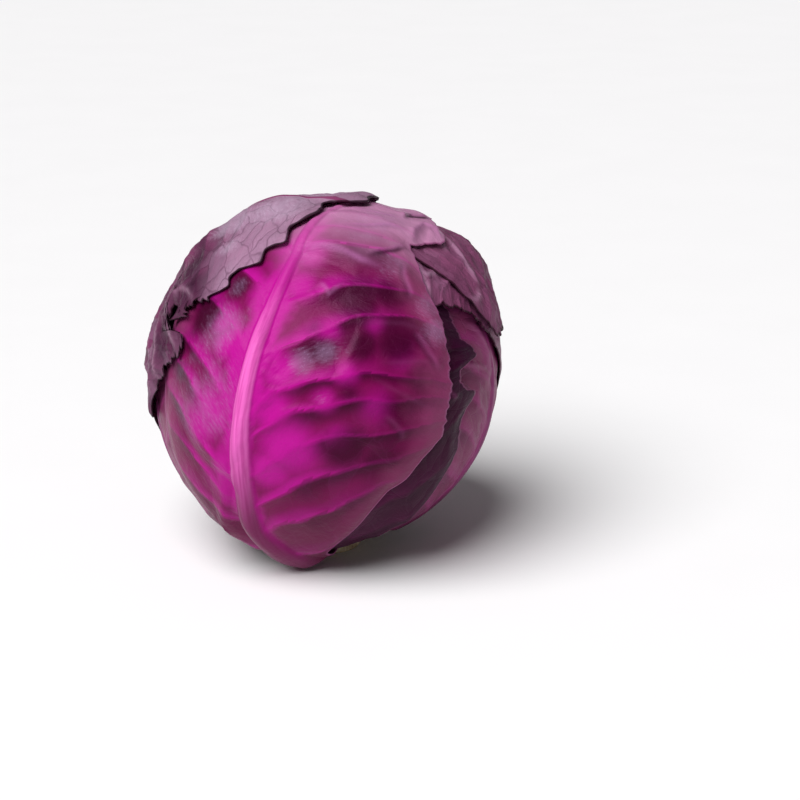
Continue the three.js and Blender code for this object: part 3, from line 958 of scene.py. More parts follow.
class Kind(Enum):
    """The nodes that the finishes and the puckers use, each with its own settings."""

    FACT = ("ShaderNodeAttribute", {})
    COORDINATES = ("ShaderNodeTexCoord", {})
    FLAT = ("ShaderNodeUVMap", {"uv_map": "flat"})
    SCALE = ("ShaderNodeVectorMath", {"operation": "SCALE"})
    SHIFT = ("ShaderNodeVectorMath", {"operation": "MULTIPLY_ADD"})
    UNIT = ("ShaderNodeVectorMath", {"operation": "NORMALIZE"})
    FROM = ("ShaderNodeVectorMath", {"operation": "SUBTRACT"})
    STRETCH = ("ShaderNodeMapping", {"vector_type": "POINT"})
    NOISE = ("ShaderNodeTexNoise", {})
    CELLS = ("ShaderNodeTexVoronoi", {"feature": "DISTANCE_TO_EDGE"})
    TONES = ("ShaderNodeTexVoronoi", {"feature": "F1"})
    BAND = ("ShaderNodeMapRange", {"interpolation_type": "SMOOTHSTEP"})
    SPAN = ("ShaderNodeMapRange", {"interpolation_type": "LINEAR"})
    TIMES = ("ShaderNodeMath", {"operation": "MULTIPLY"})
    SHARE = ("ShaderNodeMath", {"operation": "DIVIDE"})
    PLUS = ("ShaderNodeMath", {"operation": "MULTIPLY_ADD"})
    LARGER = ("ShaderNodeMath", {"operation": "MAXIMUM"})
    OVER = ("ShaderNodeMix", {"data_type": "RGBA"})
    BUMP = ("ShaderNodeBump", {})
    SURFACE = ("ShaderNodeBsdfPrincipled", {})
    OUTPUT = ("ShaderNodeOutputMaterial", {})
    GIVEN = ("NodeGroupInput", {})
    RESULT = ("NodeGroupOutput", {})
    NUMBER = ("GeometryNodeInputNamedAttribute", {"data_type": "FLOAT"})
    PLACE = ("GeometryNodeInputNamedAttribute", {"data_type": "FLOAT_VECTOR"})
    POSITION = ("GeometryNodeInputPosition", {})
    MOVE = ("GeometryNodeSetPosition", {})
    RING = ("GeometryNodeMeshCircle", {})
    DISC = ("GeometryNodeMeshCylinder", {})
    SCATTER = ("GeometryNodeInstanceOnPoints", {})
    VARY = ("FunctionNodeRandomValue", {"data_type": "FLOAT_VECTOR"})
    REALIZE = ("GeometryNodeRealizeInstances", {})
    WEAR = ("GeometryNodeSetMaterial", {})


def add(
    tree: Tree, kind: Kind, *inputs: Value, output: str = "", **named: Value
) -> Socket | None:
    """Adds a node with its settings and links.

    Args:
        tree: The tree that the node joins.
        kind: The node's kind.
        inputs: Values or sockets for the node's inputs that are in use, in their order.
        output: The name of the wanted output, or nothing for the first that is in use.
        named: Values or sockets for inputs by name, and attribute_name for the node itself.

    Returns:
        The wanted output's socket, or nothing where the node has none.
    """
    node_type, settings = kind.value
    node = tree.nodes.new(node_type)
    for name, value in settings.items():
        setattr(node, name, value)
    if "attribute_name" in named:
        node.attribute_name = named.pop("attribute_name")
    used = [socket for socket in node.inputs if socket.enabled]
    pairs = list(zip(used, inputs))
    pairs += [(next(s for s in used if s.name == name), value) for name, value in named.items()]
    for socket, value in pairs:
        if isinstance(value, Socket):
            tree.links.new(value, socket)
        else:
            socket.default_value = value
    found = [socket for socket in node.outputs if socket.enabled and output in ("", socket.name)]
    return found[0] if found else None


def fresh_tree(name: str) -> tuple[bpy.types.Material, Tree]:
    """Makes a new material.

    Args:
        name: The material's name.

    Returns:
        The material and its empty tree.
    """
    material = bpy.data.materials.new(name)
    material.use_nodes = True
    material.node_tree.nodes.clear()
    return material, material.node_tree


@dataclass(frozen=True)
class LeafFinish:
    """A red cabbage leaf: a waxy skin over purple flesh, with paler ribs and a grey bloom.

    The skin gives soft, broad highlights. The flesh is vivid along the midrib and over each
    lateral vein, and darkest under the next one, partly its own dark wine and partly painted
    shade under the raised vein. The bloom of wax greys it in patches and fine specks, and also
    stands in for painted sheen. The paler crown is partly its own tone and partly painted
    highlight, and the darker foot and the dark furrows are painted shade. Reaches and sizes are
    in millimetres, and shares are from 0 to 1.
    """

    name: str
    dark: str
    panel: str
    vivid: str
    # Painted shade: the darker colour of the leaf's base
    shaded_foot: str
    rib: str
    rib_shade: str
    margin: str
    # A paler top: partly the leaf's own tone, partly painted highlight from the light above
    crown: str
    net: str
    patch: str
    # The grey of the wax bloom, which also stands in for painted sheen
    bloom: str
    edge: str
    # The painted highlight along the creases' ridges
    fold_highlight: str
    glow_reach: float
    finger_reach: float
    # How dark the flesh gets under each vein: its own wine and painted shade
    vein_dark_and_shade: float
    margin_reach: float
    margin_share: float
    crown_and_highlight_share: float
    net_size: float
    net_share: float
    net_depth: float
    patch_share: float
    bloom_and_sheen_share: float
    roughness: float
    crown_start: float = 0.62
    crinkle: float = 1.5
    rib_end: float = 1.0
    gloss: float = 0.15
    sheen: str = "#e8a4d4"
    # The painted shadow in the creases' furrows
    furrow: str = "#1c0413"

    def fields(self, tree: Tree) -> dict[str, Socket]:
        """Adds what the finish's layers read.

        Args:
            tree: The material's tree.

        Returns:
            The leaf's attributes, its maps, and the uneven fields that break up every border.
        """
        place = add(tree, Kind.SCALE, add(tree, Kind.COORDINATES, output="Object"), Scale=1 / MM)
        flat = add(tree, Kind.FLAT)
        streaks = add(tree, Kind.STRETCH, flat, Scale=(0.5, 1.0, 1.0))
        fields = {
            name: add(tree, Kind.FACT, output="Fac", attribute_name=name) for name in PLAIN_FLESH
        }
        fields["flat"] = flat
        fields["bent"] = self.bent_map(tree, flat)
        fields["blotch"] = add(tree, Kind.NOISE, place, 1 / BLOTCH_SIZE, 3.0, 0.55)
        fields["cloud"] = add(tree, Kind.NOISE, place, 1 / CLOUD_SIZE, 2.0, 0.5)
        fields["grain"] = add(tree, Kind.NOISE, streaks, 1 / GRAIN_SIZE, 4.0, 0.65)
        fields["speck"] = add(tree, Kind.NOISE, place, 1 / SPECK_SIZE, 2.0, 0.5)
        fields["off_rib"] = add(tree, Kind.BAND, fields["rib"], 0.0, 0.15, 1.0, 0.0)
        coarse = add(tree, Kind.CELLS, fields["bent"], 1 / self.net_size)
        fine = add(tree, Kind.CELLS, fields["bent"], 3.1 / self.net_size)
        coarse_net = add(tree, Kind.BAND, coarse, 0.0, 0.06, 1.0, 0.0)
        fine_net = add(tree, Kind.BAND, fine, 0.0, 0.07, 0.3, 0.0)
        whole_net = add(tree, Kind.LARGER, coarse_net, fine_net)
        fields["net"] = add(tree, Kind.TIMES, whole_net, fields["off_rib"])
        return fields

    def bent_map(self, tree: Tree, flat: Socket) -> Socket:
        """The flat map, bent so that the small veins' net is uneven."""
        bend = add(tree, Kind.NOISE, flat, 1 / BEND_SIZE, 2.0, output="Color")
        return add(tree, Kind.SHIFT, bend, (BEND, BEND, 0.0), flat)

    def flesh(self, tree: Tree, fields: dict[str, Socket]) -> Socket:
        """Adds the flesh: vivid by the midrib and over each vein, and dark under the next one, partly its
        own dark wine and partly painted shade under the raised vein.

        Args:
            tree: The material's tree.
            fields: What the layers read, by name.

        Returns:
            The colour's socket.
        """
        blotch = fields["blotch"]
        rib_away = add(tree, Kind.PLUS, blotch, 22.0, fields["glow_mm"])
        rib_glow = add(tree, Kind.BAND, rib_away, 14.0, self.glow_reach + 13, 1.0, 0.0)
        reach = add(tree, Kind.BAND, fields["rib_mm"], 12.0, self.finger_reach + 12, 1.0, 0.0)
        over_vein = add(tree, Kind.PLUS, blotch, 0.34, fields["panel"])
        finger = add(tree, Kind.BAND, over_vein, 0.14, 0.62, 1.0, 0.0)
        glow = add(tree, Kind.LARGER, rib_glow, add(tree, Kind.TIMES, finger, reach))
        near = add(tree, Kind.PLUS, blotch, 0.5, fields["glow"])
        glow = add(tree, Kind.LARGER, glow, add(tree, Kind.BAND, near, 0.35, 1.2, 0.0, 1.0))
        # Painted shade under each raised vein, over the flesh's own dark wine
        dark_and_shade_under_vein = add(tree, Kind.BAND, over_vein, 0.5, 1.08, 0.0, self.vein_dark_and_shade)
        start, full = self.glow_reach * 0.6 + 11, self.glow_reach + 30
        far = add(tree, Kind.BAND, rib_away, start, full, 0.0, 1.0)
        dark_and_shade_share = add(tree, Kind.TIMES, dark_and_shade_under_vein, far)
        colour = add(tree, Kind.OVER, dark_and_shade_share, linear(self.panel), linear(self.dark))
        colour = add(tree, Kind.OVER, glow, colour, linear(self.vivid))
        shaded = add(tree, Kind.PLUS, blotch, 0.7, fields["shade"])
        shaded = add(tree, Kind.BAND, shaded, 0.42, 1.3, 0.0, 0.88)
        return add(tree, Kind.OVER, shaded, colour, linear(self.dark))

    def bordered(self, tree: Tree, fields: dict[str, Socket], colour: Socket) -> Socket:
        """Adds the duller margins, the paler crown, partly its own tone and partly painted highlight, and
        the foot darkened with painted shade.

        Args:
            tree: The material's tree.
            fields: What the layers read, by name.
            colour: The colour below this layer.

        Returns:
            The colour's socket.
        """
        edge_away = add(tree, Kind.PLUS, fields["blotch"], 22.0, fields["edge_mm"])
        reach = self.margin_reach + 12
        margin = add(tree, Kind.BAND, edge_away, 12.0, reach, self.margin_share, 0.0)
        colour = add(tree, Kind.OVER, margin, colour, linear(self.margin))
        # The paler crown: partly the leaf's own tone, partly painted highlight
        high = add(tree, Kind.PLUS, fields["blotch"], 0.1, fields["along"])
        top = self.crown_start
        crown = add(tree, Kind.BAND, high, top, top + 0.2, 0.0, self.crown_and_highlight_share)
        colour = add(tree, Kind.OVER, crown, colour, linear(self.crown))
        # Painted shade: darker towards the leaf's foot
        low = add(tree, Kind.BAND, high, 0.1, 0.3, 0.75, 0.0)
        return add(tree, Kind.OVER, low, colour, linear(self.shaded_foot))

    def netted(self, tree: Tree, fields: dict[str, Socket], colour: Socket) -> Socket:
        """Adds patches of differing tone between the small veins, and those veins' thin net.

        Args:
            tree: The material's tree.
            fields: What the layers read, by name.
            colour: The colour below this layer.

        Returns:
            The colour's socket.
        """
        tones = add(tree, Kind.TONES, fields["bent"], 1 / self.net_size, output="Color")
        tone = add(tree, Kind.SPAN, tones, 0.0, 1.0, 0.0, self.patch_share)
        clouded = add(tree, Kind.BAND, fields["cloud"], 0.3, 0.62, 0.25, 1.0)
        lit = add(tree, Kind.BAND, fields["shade"], 0.2, 0.9, 1.0, 0.3)
        tone = add(tree, Kind.TIMES, add(tree, Kind.TIMES, tone, clouded), lit)
        colour = add(tree, Kind.OVER, tone, colour, linear(self.patch))
        weak, strong = self.net_share * 0.3, self.net_share
        uneven = add(tree, Kind.BAND, fields["blotch"], 0.36, 0.6, weak, strong)
        net = add(tree, Kind.TIMES, fields["net"], uneven)
        return add(tree, Kind.OVER, net, colour, linear(self.net))

    def veined(self, tree: Tree, fields: dict[str, Socket], colour: Socket) -> Socket:
        """Adds the lateral veins, thin bright lines that fade towards the margin.

        Args:
            tree: The material's tree.
            fields: What the layers read, by name.
            colour: The colour below this layer.

        Returns:
            The colour's socket.
        """
        wobble = add(tree, Kind.PLUS, fields["grain"], 1.4, fields["vein_mm"])
        line = add(tree, Kind.BAND, wobble, 0.9, 2.6, 0.45, 0.0)
        fading = add(tree, Kind.BAND, fields["rib_mm"], 10.0, 75.0, 1.0, 0.1)
        weaker = add(tree, Kind.BAND, fields["along"], 0.6, 0.7, 1.0, 0.25)
        line = add(tree, Kind.TIMES, add(tree, Kind.TIMES, line, fading), fields["off_rib"])
        line = add(tree, Kind.TIMES, line, weaker)
        return add(tree, Kind.OVER, line, colour, linear(self.vivid))

    def folded(self, tree: Tree, fields: dict[str, Socket], colour: Socket) -> Socket:
        """Adds the folds' painted highlights along their ridges and painted shadows in their furrows."""
        colour = add(tree, Kind.OVER, fields["ridge"], colour, linear(self.fold_highlight))
        return add(tree, Kind.OVER, fields["furrow"], colour, linear(self.furrow))

    def bloomed_and_sheened(self, tree: Tree, fields: dict[str, Socket], colour: Socket) -> Socket:
        """Adds the bloom of wax, hazy and finely specked, which also stands in for painted sheen.

        Args:
            tree: The material's tree.
            fields: What the layers read, by name.
            colour: The colour below this layer.

        Returns:
            The colour's socket.
        """
        half_grain = add(tree, Kind.TIMES, fields["grain"], 0.5)
        uneven = add(tree, Kind.PLUS, fields["blotch"], 0.6, half_grain)
        thick = add(tree, Kind.PLUS, fields["bloom"], 0.55, uneven)
        patch = add(tree, Kind.BAND, thick, 0.72, 1.1, 0.0, 1.0)
        haze = add(tree, Kind.TIMES, patch, self.bloom_and_sheen_share * 0.6)
        flecked = add(tree, Kind.PLUS, fields["grain"], 0.7, fields["speck"])
        fleck = add(tree, Kind.BAND, flecked, 0.8, 1.08, 0.0, self.bloom_and_sheen_share)
        # The wax bloom and painted sheen, in hazy patches and fine specks
        bloom = add(tree, Kind.LARGER, haze, add(tree, Kind.TIMES, patch, fleck))
        return add(tree, Kind.OVER, bloom, colour, linear(self.bloom))

    def ribbed(self, tree: Tree, fields: dict[str, Socket], colour: Socket) -> Socket:
        """Adds the midrib, with long threads, and the thin dry edge.

        Args:
            tree: The material's tree.
            fields: What the layers read, by name.
            colour: The colour below this layer.

        Returns:
            The colour's socket.
        """
        long = add(tree, Kind.STRETCH, fields["flat"], Scale=(1.0, 0.04, 1.0))
        threads = add(tree, Kind.NOISE, long, 1 / GRAIN_SIZE, 2.0)
        shaded = add(tree, Kind.BAND, threads, 0.42, 0.62, 0.0, 0.8)
        rib = add(tree, Kind.OVER, shaded, linear(self.rib), linear(self.rib_shade))
        high = add(tree, Kind.BAND, fields["along"], 0.42, 0.62, 0.0, 0.9)
        rib = add(tree, Kind.OVER, high, rib, linear(self.vivid))
        # Painted shade: the rib darker towards its foot
        low = add(tree, Kind.BAND, fields["along"], 0.16, 0.36, 0.9, 0.0)
        rib = add(tree, Kind.OVER, low, rib, linear(self.shaded_foot))
        on_rib = add(tree, Kind.BAND, fields["rib"], 0.0, 0.5, 0.0, 1.0)
        faded = add(tree, Kind.BAND, fields["along"], 0.5, 0.7, 1.0, self.rib_end)
        colour = add(tree, Kind.OVER, add(tree, Kind.TIMES, on_rib, faded), colour, rib)
        at_edge = add(tree, Kind.BAND, fields["edge_mm"], 0.3, 1.2, 0.85, 0.0)
        return add(tree, Kind.OVER, at_edge, colour, linear(self.edge))

    def bumps(self, tree: Tree, fields: dict[str, Socket]) -> Socket:
        """Adds the skin's fine relief: sunk small veins, grain, specks and dents.

        Args:
            tree: The material's tree.
            fields: What the layers read, by name.

        Returns:
            The bent normal's socket.
        """
        half_grain = add(tree, Kind.TIMES, fields["grain"], 0.5)
        height = add(tree, Kind.PLUS, fields["net"], -self.net_depth, half_grain)
        height = add(tree, Kind.PLUS, fields["speck"], 0.25, height)
        dents = add(tree, Kind.NOISE, fields["bent"], 1 / DENT_SIZE, 3.0, 0.6)
        height = add(tree, Kind.PLUS, dents, self.crinkle, height)
        return add(tree, Kind.BUMP, Height=height, Strength=0.7, Distance=DENT_DEPTH * MM)

    def material(self) -> bpy.types.Material:
        """Makes the finish's material, once.

        Returns:
            The material, which every leaf of this finish shares.
        """
        known = bpy.data.materials.get(self.name)
        if known:
            return known
        material, tree = fresh_tree(self.name)
        fields = self.fields(tree)
        colour = self.flesh(tree, fields)
        for layer in (
            self.bordered, self.netted, self.veined, self.folded, self.bloomed_and_sheened, self.ribbed,
        ):
            colour = layer(tree, fields, colour)
        smoothest, roughest = self.roughness - 0.06, self.roughness + 0.08
        rough = add(tree, Kind.SPAN, fields["grain"], 0.3, 0.7, smoothest, roughest)
        surface = add(tree, Kind.SURFACE, **{
            "Base Color": colour, "Roughness": rough, "Normal": self.bumps(tree, fields),
            "IOR": 1.45, "Specular IOR Level": self.gloss, "Specular Tint": linear(self.sheen),
            "Coat Weight": 0.02, "Coat Roughness": 0.25,
        })
        add(tree, Kind.OUTPUT, surface)
        return material


def open_tree(name: str, inputs: dict[str, str]) -> tuple[Tree, bpy.types.NodeOutputs]:
    """Makes a geometry tree with named inputs.

    Args:
        name: The tree's name.
        inputs: The kind of each input's socket, by the input's name.

    Returns:
        The tree, which gives back a geometry, and the sockets of its inputs inside it.
    """
    tree = bpy.data.node_groups.new(name, "GeometryNodeTree")
    for given, kind in inputs.items():
        tree.interface.new_socket(given, in_out="INPUT", socket_type=f"NodeSocket{kind}")
    tree.interface.new_socket("Geometry", in_out="OUTPUT", socket_type="NodeSocketGeometry")
    return tree, tree.nodes.new(Kind.GIVEN.value[0]).outputs


@dataclass(frozen=True)
class Puckers:
    """The soft swellings of a leaf between its small veins, which follow its surface."""

    height: float

    def tree(self, finish: LeafFinish) -> Tree:
        """Makes the tree that swells a leaf's outer face.

        Args:
            finish: The leaf's finish, whose net of small veins bounds the swellings.

        Returns:
            The tree, with the inputs Cell Size, Height and Material.
        """
        tree, given = open_tree("leaf_puckers", {
            "Geometry": "Geometry",
            "Cell Size": "Float",
            "Height": "Float",
            "Material": "Material",
        })
        bent = finish.bent_map(tree, add(tree, Kind.PLACE, "flat"))
        rate = add(tree, Kind.SHARE, 1.0, given["Cell Size"])
        dome = add(tree, Kind.BAND, add(tree, Kind.CELLS, bent, rate), 0.0, 0.42, 0.0, 1.0)
        dome = add(tree, Kind.TIMES, dome, add(tree, Kind.NUMBER, "pucker"))
        rise = add(tree, Kind.TIMES, dome, given["Height"])
        middle = (0.0, 0.0, HEAD_MIDDLE_Z * MM)
        outward = add(tree, Kind.UNIT, add(tree, Kind.FROM, add(tree, Kind.POSITION), middle))
        offset = add(tree, Kind.SCALE, outward, Scale=rise)
        moved = add(tree, Kind.MOVE, given["Geometry"], Offset=offset)
        real = add(tree, Kind.REALIZE, moved)
        add(tree, Kind.RESULT, add(tree, Kind.WEAR, real, Material=given["Material"]))
        return tree

    def swell(self, piece: bpy.types.Object, finish: LeafFinish) -> None:
        """Swells a leaf's outer face between its small veins, for good.

        Args:
            piece: The leaf.
            finish: The leaf's finish.
        """
        tree = bpy.data.node_groups.get("leaf_puckers") or self.tree(finish)
        run_tree(piece, tree, {
            "Cell Size": finish.net_size,
            "Height": self.height * MM,
            "Material": finish.material(),
        })


def run_tree(piece: bpy.types.Object, tree: Tree, values: dict[str, Value]) -> None:
    """Runs a geometry tree on a piece and keeps the result as a plain mesh.

    Args:
        piece: The piece whose mesh is changed.
        tree: The tree, whose inputs are named.
        values: A value for each of the tree's inputs, by name.
    """
    modifier = piece.modifiers.new(tree.name, "NODES")
    modifier.node_group = tree
    for socket in tree.interface.items_tree:
        if socket.item_type == "SOCKET" and socket.in_out == "INPUT" and socket.name in values:
            modifier[socket.identifier] = values[socket.name]
    shaped = piece.evaluated_get(bpy.context.evaluated_depsgraph_get())
    mesh = bpy.data.meshes.new_from_object(shaped)
    piece.modifiers.remove(modifier)
    piece.data = mesh


@dataclass(frozen=True)
class StalkFinish:
    """The pale fibrous flesh of a cut cabbage stalk, a little browned where it dried."""

    name: str
    flesh: str
    fibre: str
    dried: str
    fibre_size: float = 0.8
    stain_size: float = 7.0

    def material(self) -> bpy.types.Material:
        """Makes the finish's material.

        Returns:
            The material.
        """
        material, tree = fresh_tree(self.name)
        place = add(tree, Kind.SCALE, add(tree, Kind.COORDINATES, output="Object"), 1 / MM)
        long = add(tree, Kind.STRETCH, place, Scale=(1, 1, 0.08))
        fibres = add(tree, Kind.NOISE, long, 1 / self.fibre_size, 3.0)
        stains = add(tree, Kind.NOISE, place, 1 / self.stain_size, 4.0)
        fibre_share = add(tree, Kind.BAND, fibres, 0.42, 0.68, 0.0, 1.0)
        stain_share = add(tree, Kind.BAND, stains, 0.48, 0.72, 0.0, 1.0)
        colour = add(tree, Kind.OVER, fibre_share, linear(self.flesh), linear(self.fibre))
        colour = add(tree, Kind.OVER, stain_share, colour, linear(self.dried))
        bump = add(tree, Kind.BUMP, Height=fibres, Strength=0.7, Distance=0.3 * MM)
        surface = add(tree, Kind.SURFACE, **{
            "Base Color": colour, "Roughness": 0.62, "Normal": bump, "IOR": 1.4,
        })
        add(tree, Kind.OUTPUT, surface)
        return material


@dataclass(frozen=True)
class FloorFinish:
    """A smooth white painted board, matt, with the faintest mottle of a rolled coat."""

    name: str
    paint: str
    mottle: str
    mottle_size: float = 60.0

    def material(self) -> bpy.types.Material:
        """Makes the finish's material.

        Returns:
            The material.
        """
        material, tree = fresh_tree(self.name)
        place = add(tree, Kind.SCALE, add(tree, Kind.COORDINATES, output="Object"), 1 / MM)
        cloud = add(tree, Kind.NOISE, place, 1 / self.mottle_size, 2.0)
        colour = add(tree, Kind.OVER, cloud, linear(self.paint), linear(self.mottle))
        surface = add(tree, Kind.SURFACE, **{"Base Color": colour, "Roughness": 0.85})
        add(tree, Kind.OUTPUT, surface)
        return material


# The front leaf's smooth waxed skin: vivid magenta by its ribs, darkest wine between them,
# partly painted shade under each vein, with soft broad highlights, a thin bloom in patches
# that also paints sheen, a crown partly painted highlight and a foot in painted shade
FRONT_LEAF = LeafFinish(
    name="waxy_leaf_magenta", dark="#33011c", panel="#720848", vivid="#ae0f87", shaded_foot="#581536",
    rib="#e065ba", rib_shade="#c4489c", margin="#844062", crown="#c489b0",
    net="#9c3f84", patch="#8a3a78", bloom="#a584ac", edge="#94507c", fold_highlight="#a8629a",
    glow_reach=8, finger_reach=46, vein_dark_and_shade=0.9, margin_reach=20, margin_share=0.8,
    crown_and_highlight_share=0.85, net_size=9, net_share=0.03, net_depth=0.12, patch_share=0.08,
    bloom_and_sheen_share=0.42, roughness=0.34, crown_start=0.63, crinkle=2.0, rib_end=0.35, gloss=0.17,
)
# The oldest leaf: greyed by a thick dusty bloom that also paints the sheen on its pale top,
# with a dark net of small veins and a dried edge, so that it hardly shines
OUTER_LEAF = LeafFinish(
    name="outer_leaf_bloom_and_sheen", dark="#300a24", panel="#6c2c52", vivid="#803a62", shaded_foot="#54203f",
    rib="#7f4a70", rib_shade="#683355", margin="#4c203b", crown="#b08aa6",
    net="#3a1630", patch="#84607a", bloom="#b9a0b8", edge="#14050a", fold_highlight="#a87d98",
    glow_reach=6, finger_reach=26, vein_dark_and_shade=0.7, margin_reach=12, margin_share=0.8,
    crown_and_highlight_share=0.75, net_size=13, net_share=0.48, net_depth=0.7, patch_share=0.65,
    bloom_and_sheen_share=0.8, roughness=0.44, crown_start=0.74, crinkle=2.2, gloss=0.12,
    sheen="#e0b0d4",
)
# The crinkled leaves of the upper right: rosy, uneven and rather matt, with painted
# highlights along their folds
CREASED_LEAF = LeafFinish(
    name="creased_rosy_leaf", dark="#3f1030", panel="#7d3a60", vivid="#923a76", shaded_foot="#54203f",
    rib="#93507a", rib_shade="#77365f", margin="#672e50", crown="#7b4464",
    net="#8f5a7c", patch="#a3688d", bloom="#a886a6", edge="#240a14", fold_highlight="#b889a8",
    glow_reach=10, finger_reach=40, vein_dark_and_shade=0.85, margin_reach=14, margin_share=0.6,
    crown_and_highlight_share=0.5, net_size=8, net_share=0.25, net_depth=0.7, patch_share=0.55,
    bloom_and_sheen_share=0.35, roughness=0.4, crinkle=3.2, sheen="#e6b4d4",
)
# The younger leaves of the sides and the back: a dull mauve with soft highlights
SIDE_LEAF = LeafFinish(
    name="waxy_leaf_mauve", dark="#3a0a2a", panel="#7a2c55", vivid="#8f2f6c", shaded_foot="#54203f",
    rib="#94487a", rib_shade="#77305f", margin="#582641", crown="#6b3858",
    net="#8a5078", patch="#87486d", bloom="#83688a", edge="#44202f", fold_highlight="#a8688f",
    glow_reach=12, finger_reach=45, vein_dark_and_shade=0.8, margin_reach=16, margin_share=0.6,
    crown_and_highlight_share=0.3, net_size=10, net_share=0.15, net_depth=0.5, patch_share=0.4,
    bloom_and_sheen_share=0.3, roughness=0.42,
)
# The tender leaves within: nearly black wine, a painted shade which makes the hollows look deep
SHADED_HEART_LEAF = LeafFinish(
    name="inner_leaf_painted_shade", dark="#1e0415", panel="#390b29", vivid="#4c1138", shaded_foot="#2e0c22",
    rib="#6f325b", rib_shade="#582346", margin="#30102a", crown="#44203a",
    net="#4c2842", patch="#46203a", bloom="#54405a", edge="#8a4a70", fold_highlight="#8a4a72",
    glow_reach=12, finger_reach=40, vein_dark_and_shade=0.7, margin_reach=12, margin_share=0.5,
    crown_and_highlight_share=0.2, net_size=9, net_share=0.15, net_depth=0.5, patch_share=0.3,
    bloom_and_sheen_share=0.2, roughness=0.42, gloss=0.1,
)
# The stalk's cut flesh: creamy, fibrous and matt, browned in spots where it dried
STALK_FLESH = StalkFinish(
    name="cut_stalk_flesh", flesh="#e6d8b8", fibre="#cdb98f", dried="#b08d62"
)
# The stalk's woody bundles: dry, matt and brown against the pale flesh
STALK_BUNDLES = StalkFinish(
    name="dried_stalk_bundles", flesh="#b39160", fibre="#8f6a3e", dried="#6f4c2c"
)
# The floor's rolled paint: an even white with no gloss, which shows no reflection
FLOOR_PAINT = FloorFinish(name="matt_white_paint", paint="#faf9fa", mottle="#f7f6f7")


PLAIN_VEINS = (0.13, 0.22, 0.31, 0.4, 0.49, 0.58, 0.67, 0.76, 0.86)


def plain_margin(*widths: float, shoulder: float = 0.14) -> Points:
    """A margin without a notch, from half widths in degrees and where its shoulder is in u."""
    return tuple(zip((0, 0.06, shoulder, 0.3, 0.5, 0.7, 0.87, 1), widths, strict=True))


